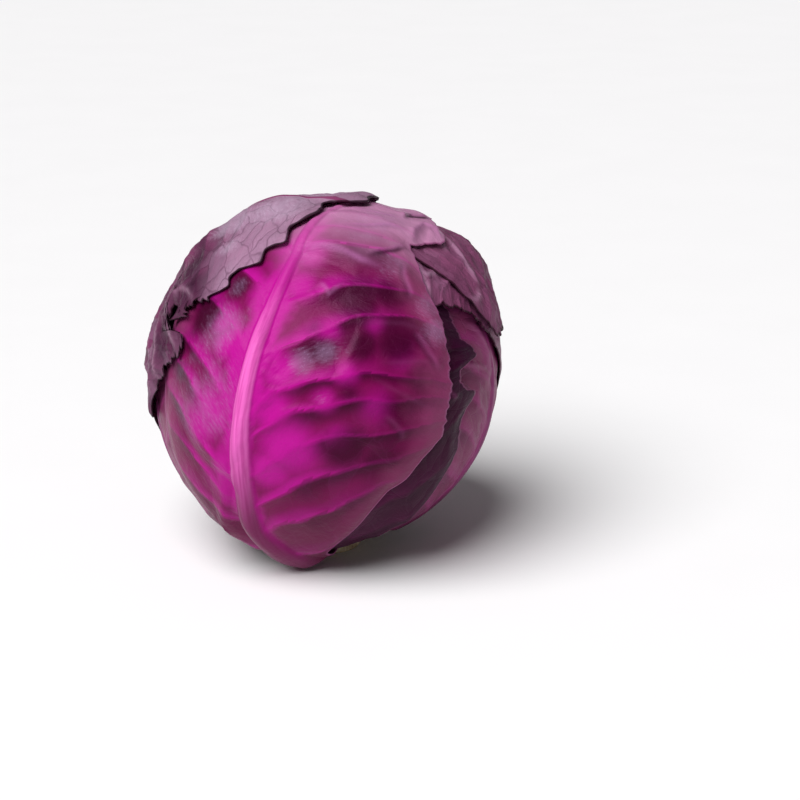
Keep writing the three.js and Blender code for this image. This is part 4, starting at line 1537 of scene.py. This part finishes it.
def wrapper_leaves() -> list[Leaf]:
    """Describes the wrapper leaves, with their creases and spots placed as the photograph shows.

    Returns:
        The leaves, from the innermost to the outermost.
    """
    left, right = Side.LEFT, Side.RIGHT
    return [
        Leaf(
            node="wrapper_leaf_back", slot="leaf_side", finish=SIDE_LEAF,
            azimuth=203, lean=-3, base=16, tip=166,
            left=plain_margin(8, 10, 34, 56, 60, 54, 40, 16),
            right=plain_margin(8, 10, 36, 58, 58, 50, 38, 16, shoulder=0.15),
            rib=Rib(2.0, 3.6), veins=PLAIN_VEINS, teeth=1.6, rows=120, columns=110, seed=11,
        ),
        Leaf(
            node="wrapper_leaf_right", slot="leaf_side", finish=SIDE_LEAF,
            azimuth=77, lean=2, base=16, tip=162,
            left=plain_margin(8, 10, 32, 54, 58, 54, 38, 16),
            right=plain_margin(8, 10, 34, 56, 60, 52, 38, 16),
            rib=Rib(2.4, 3.4), veins=PLAIN_VEINS, teeth=1.6, rows=170, columns=150, seed=12,
            creases=(
                Crease(
                    (
                        (0.643, -16), (0.626, -9), (0.606, -5), (0.584, -4), (0.53, -4), (0.49, -9),
                        (0.44, -17),
                    ),
                    1.1, 0.5, 3.2,
                ),
                Crease(((0.503, -31), (0.499, -22), (0.516, -9), (0.538, -4)), 0.7, 0.4, 2.4),
                Crease(((0.449, -14), (0.417, -14), (0.387, -14)), 0.7, 0.4, 2.4),
                Crease(((0.649, -31), (0.658, -23), (0.656, -17)), 1.4, 0.8, 2.2),
            ),
        ),
        Leaf(
            node="wrapper_leaf_left", slot="leaf_side", finish=SIDE_LEAF,
            azimuth=-82, lean=-2, base=16, tip=160,
            left=plain_margin(8, 10, 30, 50, 54, 50, 36, 16),
            right=plain_margin(8, 10, 32, 50, 52, 48, 36, 16),
            rib=Rib(2.0, 3.4), veins=PLAIN_VEINS, teeth=1.6, rows=120, columns=110, seed=13,
        ),
        Leaf(
            # Its near-black inner finish is painted shade for the hollow beside the front leaf
            node="wrapper_leaf_under_front", slot="leaf_side", finish=SHADED_HEART_LEAF,
            azimuth=8, lean=0, base=15.5, tip=158,
            left=plain_margin(8, 10, 26, 42, 46, 44, 34, 16),
            right=(
                (0, 8), (0.06, 10), (0.12, 26), (0.22, 42), (0.3, 44), (0.36, 50), (0.4, 43), (0.47, 41),
                (0.53, 50), (0.58, 47), (0.63, 44), (0.75, 40), (0.87, 32), (1, 16),
            ),
            rib=Rib(0.6, 3), veins=PLAIN_VEINS, teeth=1, rows=150, columns=130, seed=14,
            lifts=(Stretch(right, 0.3, 0.66, 1.6),),
            creases=(
                Crease(((0.682, 32), (0.65, 34), (0.608, 35), (0.574, 34)), 1.2, 0.6, 2.2),
                Crease(((0.449, 33), (0.407, 37), (0.379, 39)), 0.9, 0.5, 2.2),
            ),
        ),
        Leaf(
            node="wrapper_leaf_right_back", slot="leaf_side", finish=CREASED_LEAF,
            azimuth=125, lean=-2, base=15.2, tip=186,
            left=(
                (0, 8), (0.06, 10), (0.15, 22), (0.28, 31), (0.4, 43), (0.5, 47), (0.62, 49.5), (0.75, 51),
                (0.88, 52.5), (1, 30),
            ),
            right=plain_margin(8, 10, 32, 50, 54, 50, 40, 22),
            rib=Rib(2.2, 3.6), veins=PLAIN_VEINS, teeth=1.2, rows=190, columns=160, seed=15,
            lifts=(Stretch(left, 0.4, 0.85, 0.4),),
            creases=(
                Crease(((0.894, -40), (0.861, -42), (0.786, -39), (0.723, -39)), 0.9, 0.5, 2.2, 0.6),
                Crease(((0.872, -33), (0.876, -40), (0.87, -46), (0.856, -51)), 0.9, 0.5, 2.2, 0.5),
                Crease(((0.842, -36), (0.778, -35), (0.71, -37)), 0.8, 0.4, 2.2, 0.5, 0.4),
            ),
            crumples=(Stretch(left, 0.5, 1.2, 1.1),),
            spots=(Spot(0.9, -40, 7), Spot(0.8, -44, 7, 0.8)),
        ),
        Leaf(
            node="wrapper_leaf_back_right", slot="leaf_outer", finish=CREASED_LEAF,
            azimuth=165, lean=3, base=14.8, tip=199,
            left=(
                (0, 8), (0.05, 10), (0.12, 24), (0.22, 46), (0.34, 64), (0.5, 71), (0.66, 74), (0.8, 76),
                (0.9, 75), (0.95, 71), (0.98, 65), (1, 58),
            ),
            right=(
                (0, 8), (0.05, 10), (0.12, 24), (0.25, 50), (0.42, 62), (0.6, 60), (0.8, 52), (0.92, 44),
                (1, 30),
            ),
            rib=Rib(3.2, 4), veins=PLAIN_VEINS, teeth=1.6, rows=190, columns=170, seed=16,
            lifts=(Stretch(left, 0.5, 0.98, 0.3),),
            creases=(
                Crease(
                    ((0.794, -38), (0.823, -45), (0.842, -50), (0.864, -55), (0.879, -60)),
                    1.1, 0.8, 2.6, 0.6,
                ),
                Crease(((0.879, -60), (0.943, -62), (0.998, -60)), 0.9, 0.5, 2.2, 0.6),
                Crease(((0.738, -36), (0.847, -41), (0.887, -46)), 0.9, 0.6, 2.6, 0.5),
            ),
            crumples=(Stretch(left, 0.5, 1.2, 0.9),),
        ),
        Leaf(
            node="wrapper_leaf_front", slot="leaf_front", finish=FRONT_LEAF,
            azimuth=-24.7, lean=5.7, base=14.5, tip=224, hook=10,
            left=(
                (0, 8), (0.05, 8.5), (0.1, 13), (0.13, 25), (0.18, 34), (0.25, 39), (0.35, 44), (0.5, 48),
                (0.62, 46), (0.75, 40), (0.88, 30), (1, 16),
            ),
            right=(
                (0, 8), (0.05, 10), (0.1, 32), (0.16, 54), (0.23, 64), (0.33, 63), (0.43, 59.5),
                (0.5, 53.5), (0.56, 47.5), (0.61, 40.5), (0.66, 34), (0.7, 29.5), (0.75, 30.5),
                (0.79, 34), (0.82, 32.8), (0.86, 28), (0.91, 20), (1, 12),
            ),
            rib=Rib(4.8, 4.3),
            veins=(
                0.08, 0.15, 0.205, 0.262, 0.322, 0.366, 0.46, 0.55, 0.636, 0.68, 0.74, 0.83, 0.91,
            ),
            teeth=0.9, rows=250, columns=196, seed=17, swell=1.0, pucker=0.12, left_glow=0.8,
            left_veins=0.4, vein_bend=0.06, stiffness=16,
            spots=(
                Spot(0.412, 15, 6, 0.9), Spot(0.42, 22, 6, 0.9), Spot(0.418, 27, 4, 0.5),
                Spot(0.326, -18, 7, 0.9), Spot(0.38, -15, 12, 0.6), Spot(0.43, -14, 12, 0.9),
                Spot(0.27, -26, 8, 0.5), Spot(0.559, 44, 7, 0.8), Spot(0.506, 50, 6, 0.8),
                Spot(0.647, 1, 7, 0.5), Spot(0.51, -5, 7, 0.4), Spot(0.75, 15, 16, 0.7),
                Spot(0.69, 8, 14, 0.4), Spot(0.34, -14, 24, 0.75), Spot(0.335, 24, 5, 0.5),
                Spot(0.518, -14, 6, 0.6), Spot(0.312, -27, 5, 0.6), Spot(0.61, 29, 8, 0.6),
            ),
            glows=(
                Spot(0.357, 8, 9), Spot(0.273, 15, 12), Spot(0.411, 9, 8), Spot(0.45, 5, 6),
                Spot(0.253, 9, 9), Spot(0.435, -9, 8), Spot(0.446, -14, 6, 0.8),
                Spot(0.329, -10, 11, 0.9), Spot(0.281, -15, 10, 0.8), Spot(0.211, -9, 10, 0.6),
                Spot(0.46, 20, 6, 0.8), Spot(0.37, 29, 6, 0.8), Spot(0.33, 25, 6, 0.7),
                Spot(0.262, 30, 6, 0.7), Spot(0.567, 6, 8, 0.9), Spot(0.638, 4, 8, 0.8),
                Spot(0.305, 41, 8, 0.6), Spot(0.4, 44, 7, 0.5), Spot(0.47, 33, 5, 0.6),
            ),
            shades=(
                Spot(0.423, 21, 6, 0.9), Spot(0.333, 31, 6, 0.8), Spot(0.237, 33, 9),
                Spot(0.524, 25, 11), Spot(0.471, 16, 5, 0.6), Spot(0.422, 32, 7),
                Spot(0.549, 33, 8, 0.9), Spot(0.42, -24, 9), Spot(0.518, -14, 6, 0.8),
                Spot(0.312, -27, 6, 0.7), Spot(0.432, 41, 9), Spot(0.295, 48, 10, 0.8),
                Spot(0.2, 45, 12, 0.8), Spot(0.36, 52, 8, 0.8), Spot(0.2, -26, 8, 0.6),
            ),
            lifts=(Stretch(right, 0.12, 0.66, 2.6), Stretch(right, 0.7, 0.97, 0.6)),
            waves=(Wave(right, 0.42, 0.72, 0.5, 4),),
            creases=(
                Crease(
                    ((0.481, 44), (0.466, 47), (0.439, 51), (0.419, 54), (0.397, 57)),
                    1.0, 0.8, 2.6, 0.15, 0.4,
                ),
                Crease(((0.288, 43), (0.273, 46), (0.251, 49), (0.23, 50)), 0.8, 0.4, 2.4, 0.1, 0.3),
                Crease(((0.63, 20), (0.645, 24), (0.66, 26), (0.69, 28.5)), 1.2, 0.9, 2.2, 0.3, 0.8),
                Crease(
                    ((0.8, 19.5), (0.83, 18), (0.862, 17.5), (0.884, 19.5), (0.905, 20)),
                    0.7, 1.4, 2.0, 0.3, 1.0,
                ),
                Crease(
                    ((0.72, 29), (0.764, 26), (0.817, 25), (0.824, 28), (0.799, 33)),
                    1.4, 1.0, 2.6, 0.3, 0.3,
                ),
                Crease(((0.7, 8), (0.71, 14), (0.735, 20), (0.745, 25)), 0.5, 0.3, 2.0, 0.4, 0.2),
                Crease(((0.79, 3), (0.775, 9), (0.785, 15), (0.8, 19)), 0.5, 0.3, 1.8, 0.4, 0.2),
                Crease(((0.571, 11), (0.561, 13), (0.54, 16), (0.549, 17), (0.565, 19)), 0.6, 0.5, 2.0),
                Crease(((0.647, -1), (0.641, 7), (0.63, 14), (0.616, 20), (0.61, 27)), 0.6, 0.5, 2.6, 0.5),
                Crease(((0.637, 31), (0.608, 33), (0.575, 37), (0.555, 39)), 0.9, 0.5, 2.4, 0.2, 0.4),
                Crease(
                    ((0.469, 22), (0.476, 34), (0.487, 40), (0.489, 46), (0.524, 52)),
                    0.5, 0.3, 2.0, 0.05,
                ),
                Crease(((0.388, 38), (0.395, 44), (0.414, 52), (0.4, 59)), 0.5, 0.3, 2.0, 0.05),
                Crease(((0.36, 37), (0.331, 46), (0.309, 53), (0.29, 60)), 0.5, 0.3, 2.0, 0.05),
            ),
        ),
        Leaf(
            node="wrapper_leaf_back_left", slot="leaf_outer", finish=OUTER_LEAF,
            azimuth=-125, lean=0, base=14.2, tip=192,
            left=(
                (0, 8), (0.05, 10), (0.12, 28), (0.24, 50), (0.4, 58), (0.6, 58), (0.78, 52), (0.9, 40),
                (1, 22),
            ),
            right=(
                (0, 8), (0.05, 10), (0.12, 22), (0.2, 33), (0.25, 46), (0.29, 61), (0.42, 63.5),
                (0.54, 66), (0.595, 64.5), (0.612, 48), (0.635, 44.5), (0.68, 49), (0.72, 53),
                (0.77, 53.5), (0.81, 51), (0.86, 50.5), (1, 50.5),
            ),
            end=(
                (-22, 0.96), (-19, 0.967), (-13, 0.976), (-6.6, 0.999), (-1, 0.983), (3.2, 0.947),
                (9, 0.965), (14.4, 0.979), (18.8, 0.97), (22.3, 0.952), (26.4, 0.965),
                (28.2, 0.97), (30, 0.94), (31.8, 0.925), (37, 0.935), (38.6, 0.909), (40.6, 0.87),
                (43.6, 0.85), (46.6, 0.86), (48.5, 0.83), (50, 0.77), (56, 0.9), (60, 1),
            ),
            rib=Rib(4.2, 4.2),
            veins=(
                0.1, 0.18, 0.26, 0.35, 0.44, 0.53, 0.6, 0.69, 0.75, 0.795, 0.847, 0.878, 0.945,
                0.967, 0.99,
            ),
            teeth=2, rows=228, columns=212, seed=18, swell=0.35, pucker=0.55, ragged=0.35,
            spots=(
                Spot(0.87, 9, 16), Spot(0.76, 15, 13), Spot(0.8, 30, 7, 0.7), Spot(0.9, -3, 12, 0.7),
            ),
            shades=(
                Spot(0.56, 50, 16), Spot(0.64, 32, 13), Spot(0.68, 46, 11), Spot(0.44, 55, 10, 0.7),
                Spot(0.85, 44, 7, 0.9), Spot(0.78, 2, 9, 0.5), Spot(0.5, 40, 9, 0.7),
            ),
            glows=(Spot(0.86, 33, 8, 0.5), Spot(0.93, 18, 8, 0.5)),
            lifts=(Stretch(right, 0.45, 0.8, 0.5),),
            creases=(
                Crease(((0.523, 36), (0.511, 45), (0.516, 55), (0.541, 64)), 0.8, 0.4, 2.2, 0.6),
                Crease(((0.474, 35), (0.432, 48), (0.36, 55), (0.304, 62)), 0.8, 0.4, 2.2, 0.6),
                Crease(((0.401, 36), (0.354, 41), (0.324, 55)), 0.7, 0.3, 2.2, 0.5),
                Crease(
                    ((0.586, 45), (0.575, 39), (0.608, 40), (0.659, 45), (0.708, 52)),
                    1.2, 0.7, 2.6, 0.4,
                ),
                Crease(((0.625, 20), (0.712, 32), (0.757, 38), (0.833, 46)), -0.4, 0.2, 2.0, 0.0),
                Crease(((0.735, 12), (0.802, 21), (0.856, 30), (0.914, 36)), -0.4, 0.2, 2.0, 0.0),
                Crease(((0.842, 6), (0.876, 14), (0.949, 25)), -0.4, 0.2, 2.0, 0.0),
            ),
            crumples=(Stretch(right, 0.25, 0.6, 0.7),),
        ),
    ]


@dataclass
class Bundles:
    """The ring of bundles on a cut stalk's face, which stand level with the floor."""

    slot: str = "stalk"
    ring_radius: float = 9.8
    bundle_radius: float = 0.6
    depth: float = 0.5
    strayed: float = 0.8
    count: int = 34
    sides: int = 14
    slimmest: float = 0.55
    broadest: float = 1.3
    seed: int = 5

    def tree(self) -> Tree:
        """Makes the tree that scatters the bundles along a ring.

        Returns:
            The tree, with the inputs Count, Ring Radius, Bundle Radius, Depth, Sides, Low and
            High for how far a bundle strays, Slimmest and Broadest for its shares of the usual
            size, Seed and Material.
        """
        tree, given = open_tree("stalk_bundles", {
            "Count": "Int",
            "Ring Radius": "Float",
            "Bundle Radius": "Float",
            "Depth": "Float",
            "Sides": "Int",
            "Low": "Vector",
            "High": "Vector",
            "Slimmest": "Vector",
            "Broadest": "Vector",
            "Seed": "Int",
            "Material": "Material",
        })
        ring = add(tree, Kind.RING, given["Count"], given["Ring Radius"])
        stray = add(tree, Kind.VARY, Min=given["Low"], Max=given["High"], Seed=given["Seed"])
        ring = add(tree, Kind.MOVE, ring, Offset=stray)
        disc = add(tree, Kind.DISC, **{
            "Vertices": given["Sides"], "Radius": given["Bundle Radius"], "Depth": given["Depth"],
        })
        size = add(tree, Kind.VARY, **{
            "Min": given["Slimmest"], "Max": given["Broadest"], "Seed": given["Seed"],
        })
        bundles = add(tree, Kind.SCATTER, ring, Instance=disc, Scale=size)
        real = add(tree, Kind.REALIZE, bundles)
        add(tree, Kind.RESULT, add(tree, Kind.WEAR, real, Material=given["Material"]))
        return tree

    def build(self) -> bpy.types.Object:
        """Makes the bundles as one piece.

        Returns:
            The piece, linked to the scene.
        """
        mesh = bpy.data.meshes.new("stalk_bundles")
        piece = bpy.data.objects.new("stalk_bundles", mesh)
        bpy.context.scene.collection.objects.link(piece)
        middle = self.depth / 2
        run_tree(piece, self.tree(), {
            "Count": self.count,
            "Ring Radius": self.ring_radius * MM,
            "Bundle Radius": self.bundle_radius * MM,
            "Depth": self.depth * MM,
            "Sides": self.sides,
            "Low": (-self.strayed * MM, -self.strayed * MM, middle * MM),
            "High": (self.strayed * MM, self.strayed * MM, middle * MM),
            "Slimmest": (self.slimmest, self.slimmest, 1.0),
            "Broadest": (self.broadest, self.broadest, 1.0),
            "Seed": self.seed,
            "Material": STALK_BUNDLES.material(),
        })
        return piece


@dataclass
class Stalk:
    """The cut stalk and its core, which tapers up into the heart.

    Its cut face is sunk a little inside the rim, where the soft flesh dried back between the
    bundles.
    """

    node: str = "stalk"
    slot: str = "stalk"
    radius: float = 14.5
    shoulder_z: float = 16.0
    top_radius: float = 7.0
    top_z: float = 84.0
    edge: float = 0.8
    face_depth: float = 0.3
    sides: int = 128
    rings: int = 70
    sunk_rings: tuple[float, ...] = (0.25, 0.5, 0.8)
    rim_rings: tuple[float, ...] = (0.88, 0.94)
    furrow: float = 0.35
    furrow_width: float = 3.2

    def radius_at(self, z: np.ndarray) -> np.ndarray:
        """The stalk's radius at a height, from its cut face up into the heart."""
        share = np.clip((z - self.shoulder_z) / (self.top_z - self.shoulder_z), 0, 1)
        return self.radius + (self.top_radius - self.radius) * share**1.2

    def build(self) -> bpy.types.Object:
        """Makes the stalk's mesh, with shallow furrows along it and a sunk cut face.

        Returns:
            The stalk's object, with its finish.
        """
        z = np.linspace(self.edge, self.top_z - 3, self.rings)
        turn = np.linspace(0, 2 * math.pi, self.sides, endpoint=False)
        cut = [(share * self.radius, self.face_depth) for share in self.sunk_rings]
        cut += [(share * self.radius, 0.0) for share in self.rim_rings]
        end = float(self.radius_at(np.array([self.top_z]))[0]) * 0.5
        profile = [*cut, *zip(self.radius_at(z), z), (end, self.top_z)]
        places = np.stack([np.full((self.sides, 3), [r, r, h]) for r, h in profile])
        places[:, :, 0] *= np.sin(turn)
        places[:, :, 1] *= -np.cos(turn)
        places = places.reshape(-1, 3)
        uneven = self.furrow * (1 + wander(places * [1, 1, 0.12], self.furrow_width, 31))
        across = np.hypot(places[:, 0], places[:, 1])
        narrowed = np.where(places[:, 2] > 0, 1 - uneven / np.maximum(across, 1), 1)
        places = places * np.column_stack([narrowed, narrowed, np.ones(len(narrowed))])
        ends = np.array([[0, 0, self.face_depth], [0, 0, self.top_z + 0.8]])
        return round_piece(self.node, places, ends, len(profile), self.sides, STALK_FLESH)


def round_piece(
    name: str,
    rings: np.ndarray,
    ends: np.ndarray,
    count: int,
    sides: int,
    finish: LeafFinish | StalkFinish,
    facts: dict[str, np.ndarray] | None = None,
) -> bpy.types.Object:
    """A closed round body through rings of points, from one end point to the other.

    Args:
        name: The object's name.
        rings: The rings' points in the shared frame, in millimetres, ring by ring.
        ends: The first and the last point.
        count: How many rings there are.
        sides: How many points a ring has.
        finish: What the surface is.
        facts: A number for each point, for each attribute that the finish reads.

    Returns:
        The object, linked to the scene.
    """
    index = np.arange(count * sides).reshape(count, sides)
    turned = np.roll(index, -1, axis=1)
    quads = np.column_stack([p.ravel() for p in (index[:-1], turned[:-1], turned[1:], index[1:])])
    first, last = count * sides, count * sides + 1
    caps = [
        np.column_stack([np.full(sides, first), turned[0], index[0]]),
        np.column_stack([np.full(sides, last), index[-1], turned[-1]]),
    ]
    triangles = np.vstack([quads[:, [0, 1, 2]], quads[:, [0, 2, 3]], *caps])
    places = np.vstack([rings, ends]) - [0, 0, HEAD_MIDDLE_Z]
    mesh = plain_mesh(name, places, triangles)
    flat = np.column_stack([np.degrees(np.arctan2(places[:, 0], -places[:, 1])), places[:, 2]])
    return dress(name, mesh, facts or {}, flat, finish)


@dataclass
class Heart:
    """The dense ball of inner leaves, with its outermost folds, and the bore for the stalk."""

    stalk: Stalk
    node: str = "heart"
    slot: str = "heart"
    sunk: float = 2.6
    foot_latitude: float = -74.0
    crown_latitude: float = 88.0
    stalk_room: float = 0.5
    sides: int = 200
    rings: int = 100
    bore_rings: int = 12
    folds: Points = ((40, 1.2), (178, 1.0), (-44, 1.1))

    def folded_radius(self, azimuth: np.ndarray, latitude: np.ndarray) -> np.ndarray:
        """How far the heart's surface is from the head's middle, with the folds of its leaves.

        Args:
            azimuth: Degrees from the front, towards the right.
            latitude: Degrees above the horizon.

        Returns:
            The radii in millimetres.
        """
        step = np.zeros(len(azimuth))
        for middle, height in self.folds:
            away = np.abs((azimuth - middle + 180) % 360 - 180)
            width = 62 - latitude * 0.25
            span = 1 - smooth(0, 1, (away - width + 9) / 18)
            step += height * span * (1 - smooth(0, 1, -latitude / 80))
            step += 0.5 * height * np.exp(-((away / 6) ** 2)) * (1 - smooth(20, 70, latitude))
        towards = direction(azimuth, latitude)
        relief = 0.25 * wander(towards * HEART_SIDE_RADIUS, 9, 41)
        return heart_radius(towards) - self.sunk + step + relief

    def build(self) -> bpy.types.Object:
        """Makes the heart's mesh from its crown down to the stalk and up its bore.

        Returns:
            The heart's object, with its finish.
        """
        azimuth_line = np.linspace(0, 360, self.sides, endpoint=False)
        latitude_line = np.linspace(self.crown_latitude, self.foot_latitude, self.rings)
        angles = np.meshgrid(latitude_line, azimuth_line, indexing="ij")
        latitude, azimuth = (grid.ravel() for grid in angles)
        outside = direction(azimuth, latitude) * self.folded_radius(azimuth, latitude)[:, None]
        outside[:, 2] += HEAD_MIDDLE_Z
        top_z = self.stalk.top_z
        heights = np.linspace(self.stalk.shoulder_z + 2, top_z - 3, self.bore_rings)
        radii = self.stalk.radius_at(heights) + self.stalk_room
        end = self.stalk.radius_at(np.array([top_z])) * 0.55 + self.stalk_room
        around = direction(azimuth_line, 0.0)
        bore = np.vstack([
            around * radius + [0, 0, z]
            for radius, z in zip([*radii, *end], [*heights, top_z + self.stalk_room])
        ])
        crown = np.array([0.0, 0.0, HEAD_MIDDLE_Z + HEART_TOP_RADIUS - self.sunk + 1.0])
        ends = np.array([crown, [0, 0, top_z + 1 + 2 * self.stalk_room]])
        rings = np.vstack([outside, bore])
        facts = {name: np.full(len(rings) + 2, value) for name, value in PLAIN_FLESH.items()}
        facts["vein_mm"] = np.abs(wander(np.vstack([rings, ends]), 12, 43)) * 7
        count = self.rings + self.bore_rings + 1
        # The heart wears the inner finish, whose near-black wine is painted shade
        return round_piece(self.node, rings, ends, count, self.sides, SHADED_HEART_LEAF, facts)


@dataclass
class Studio:
    """A white floor, soft lights and a camera at the photograph's angle."""

    floor_size: float = 40.0
    far_clip: float = 50.0
    world_strength: float = 0.12
    overhead_azimuth: float = -38.0
    overhead_elevation: float = 54.0
    overhead_spread: float = 46.0
    overhead_strength: float = 3.45
    key_azimuth: float = -25.0
    key_elevation: float = 40.0
    key_distance: float = 1.2
    key_size: float = 0.5
    key_power: float = 2.0

    def view_axes(self) -> tuple[Vector, Vector, Vector]:
        """Works out how the camera is turned.

        Returns:
            Its right, its up and the way it looks.
        """
        rise = math.radians(VIEW_ELEVATION)
        right = Vector((1, 0, 0))
        up = Vector((0, math.sin(rise), math.cos(rise)))
        ahead = Vector((0, math.cos(rise), -math.sin(rise)))
        return right, up, ahead

    def add_camera(self) -> None:
        """Places the camera so that the head's middle falls where the photograph has it."""
        right, up, ahead = self.view_axes()
        focal_pixels = IMAGE_PIXELS * LENS / SENSOR
        distance = focal_pixels / PIXELS_PER_MM
        middle = Vector((0, 0, HEAD_MIDDLE_Z))
        across = (HEAD_PIXEL[0] - IMAGE_PIXELS / 2) / focal_pixels * distance
        above = (IMAGE_PIXELS / 2 - HEAD_PIXEL[1]) / focal_pixels * distance
        place = middle - across * right - above * up - distance * ahead
        data = bpy.data.cameras.new("camera")
        data.lens = LENS
        data.sensor_width = SENSOR
        data.clip_end = self.far_clip
        camera = bpy.data.objects.new("camera", data)
        camera.location = place * MM
        camera.rotation_euler = ahead.to_track_quat("-Z", "Y").to_euler()
        bpy.context.scene.collection.objects.link(camera)
        bpy.context.scene.camera = camera

    def add_key(self) -> None:
        """Adds a square soft light near the head, which faces it."""
        data = bpy.data.lights.new("key", "AREA")
        data.size = self.key_size
        data.energy = self.key_power
        light = bpy.data.objects.new("key", data)
        way = Vector(direction(self.key_azimuth, self.key_elevation))
        light.location = way * self.key_distance + Vector((0, 0, HEAD_MIDDLE_Z * MM))
        light.rotation_euler = (-way).to_track_quat("-Z", "Y").to_euler()
        bpy.context.scene.collection.objects.link(light)

    def add_overhead(self) -> None:
        """Adds a broad even light from far away, which also whitens the floor."""
        data = bpy.data.lights.new("overhead", "SUN")
        data.angle = math.radians(self.overhead_spread)
        data.energy = self.overhead_strength
        light = bpy.data.objects.new("overhead", data)
        way = Vector(-direction(self.overhead_azimuth, self.overhead_elevation))
        light.rotation_euler = way.to_track_quat("-Z", "Y").to_euler()
        bpy.context.scene.collection.objects.link(light)

    def add_floor(self, height: float) -> None:
        """Adds the floor.

        Args:
            height: Where it lies, in metres.
        """
        mesh = bpy.data.meshes.new("floor")
        half = self.floor_size / 2
        around = ((-half, -half), (half, -half), (half, half), (-half, half))
        mesh.from_pydata([(x, y, height) for x, y in around], [], [(0, 1, 2, 3)])
        mesh.materials.append(FLOOR_PAINT.material())
        floor = bpy.data.objects.new("floor", mesh)
        bpy.context.scene.collection.objects.link(floor)
        floor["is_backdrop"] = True

    def build(self, floor_height: float) -> None:
        """Sets up the floor, the camera, the lights and the world.

        Args:
            floor_height: Where the floor lies, in metres.
        """
        self.add_floor(floor_height)
        self.add_camera()
        self.add_overhead()
        self.add_key()
        world = bpy.data.worlds.new("world")
        world.use_nodes = True
        background = world.node_tree.nodes["Background"]
        background.inputs["Color"].default_value = (1, 1, 1, 1)
        background.inputs["Strength"].default_value = self.world_strength
        bpy.context.scene.world = world
        bpy.context.scene.view_settings.view_transform = "Standard"


@dataclass
class CabbageHead:
    """The whole head: its stalk, the stalk's bundles, its heart and its wrapper leaves."""

    stalk: Stalk
    bundles: Bundles
    heart: Heart
    leaves: list[Leaf]

    def build(self) -> None:
        """Builds each piece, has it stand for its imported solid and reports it."""
        ring = self.bundles.build()
        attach(ring, BODY)
        LOG.info("%s: %d faces", ring.name, len(ring.data.polygons))
        pieces = [(self.stalk, self.stalk.build()), (self.heart, self.heart.build())]
        for i, leaf in enumerate(self.leaves):
            pieces.append((leaf, leaf.build(self.leaves[:i])))
        for part, piece in pieces:
            piece.name = f"{part.node}_surface"
            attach(piece, BODY)
            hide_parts(part.node)
            LOG.info("%s: %d faces", piece.name, len(piece.data.polygons))


def main() -> None:
    """Builds the studio and the head."""
    logging.basicConfig(level=logging.INFO, format="%(name)s: %(message)s")
    packed = [list(corner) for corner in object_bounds()]
    Studio().build(packed[0][2])
    stalk = Stalk()
    CabbageHead(stalk, Bundles(), Heart(stalk), wrapper_leaves()).build()


if __name__ == "__main__":
    main()
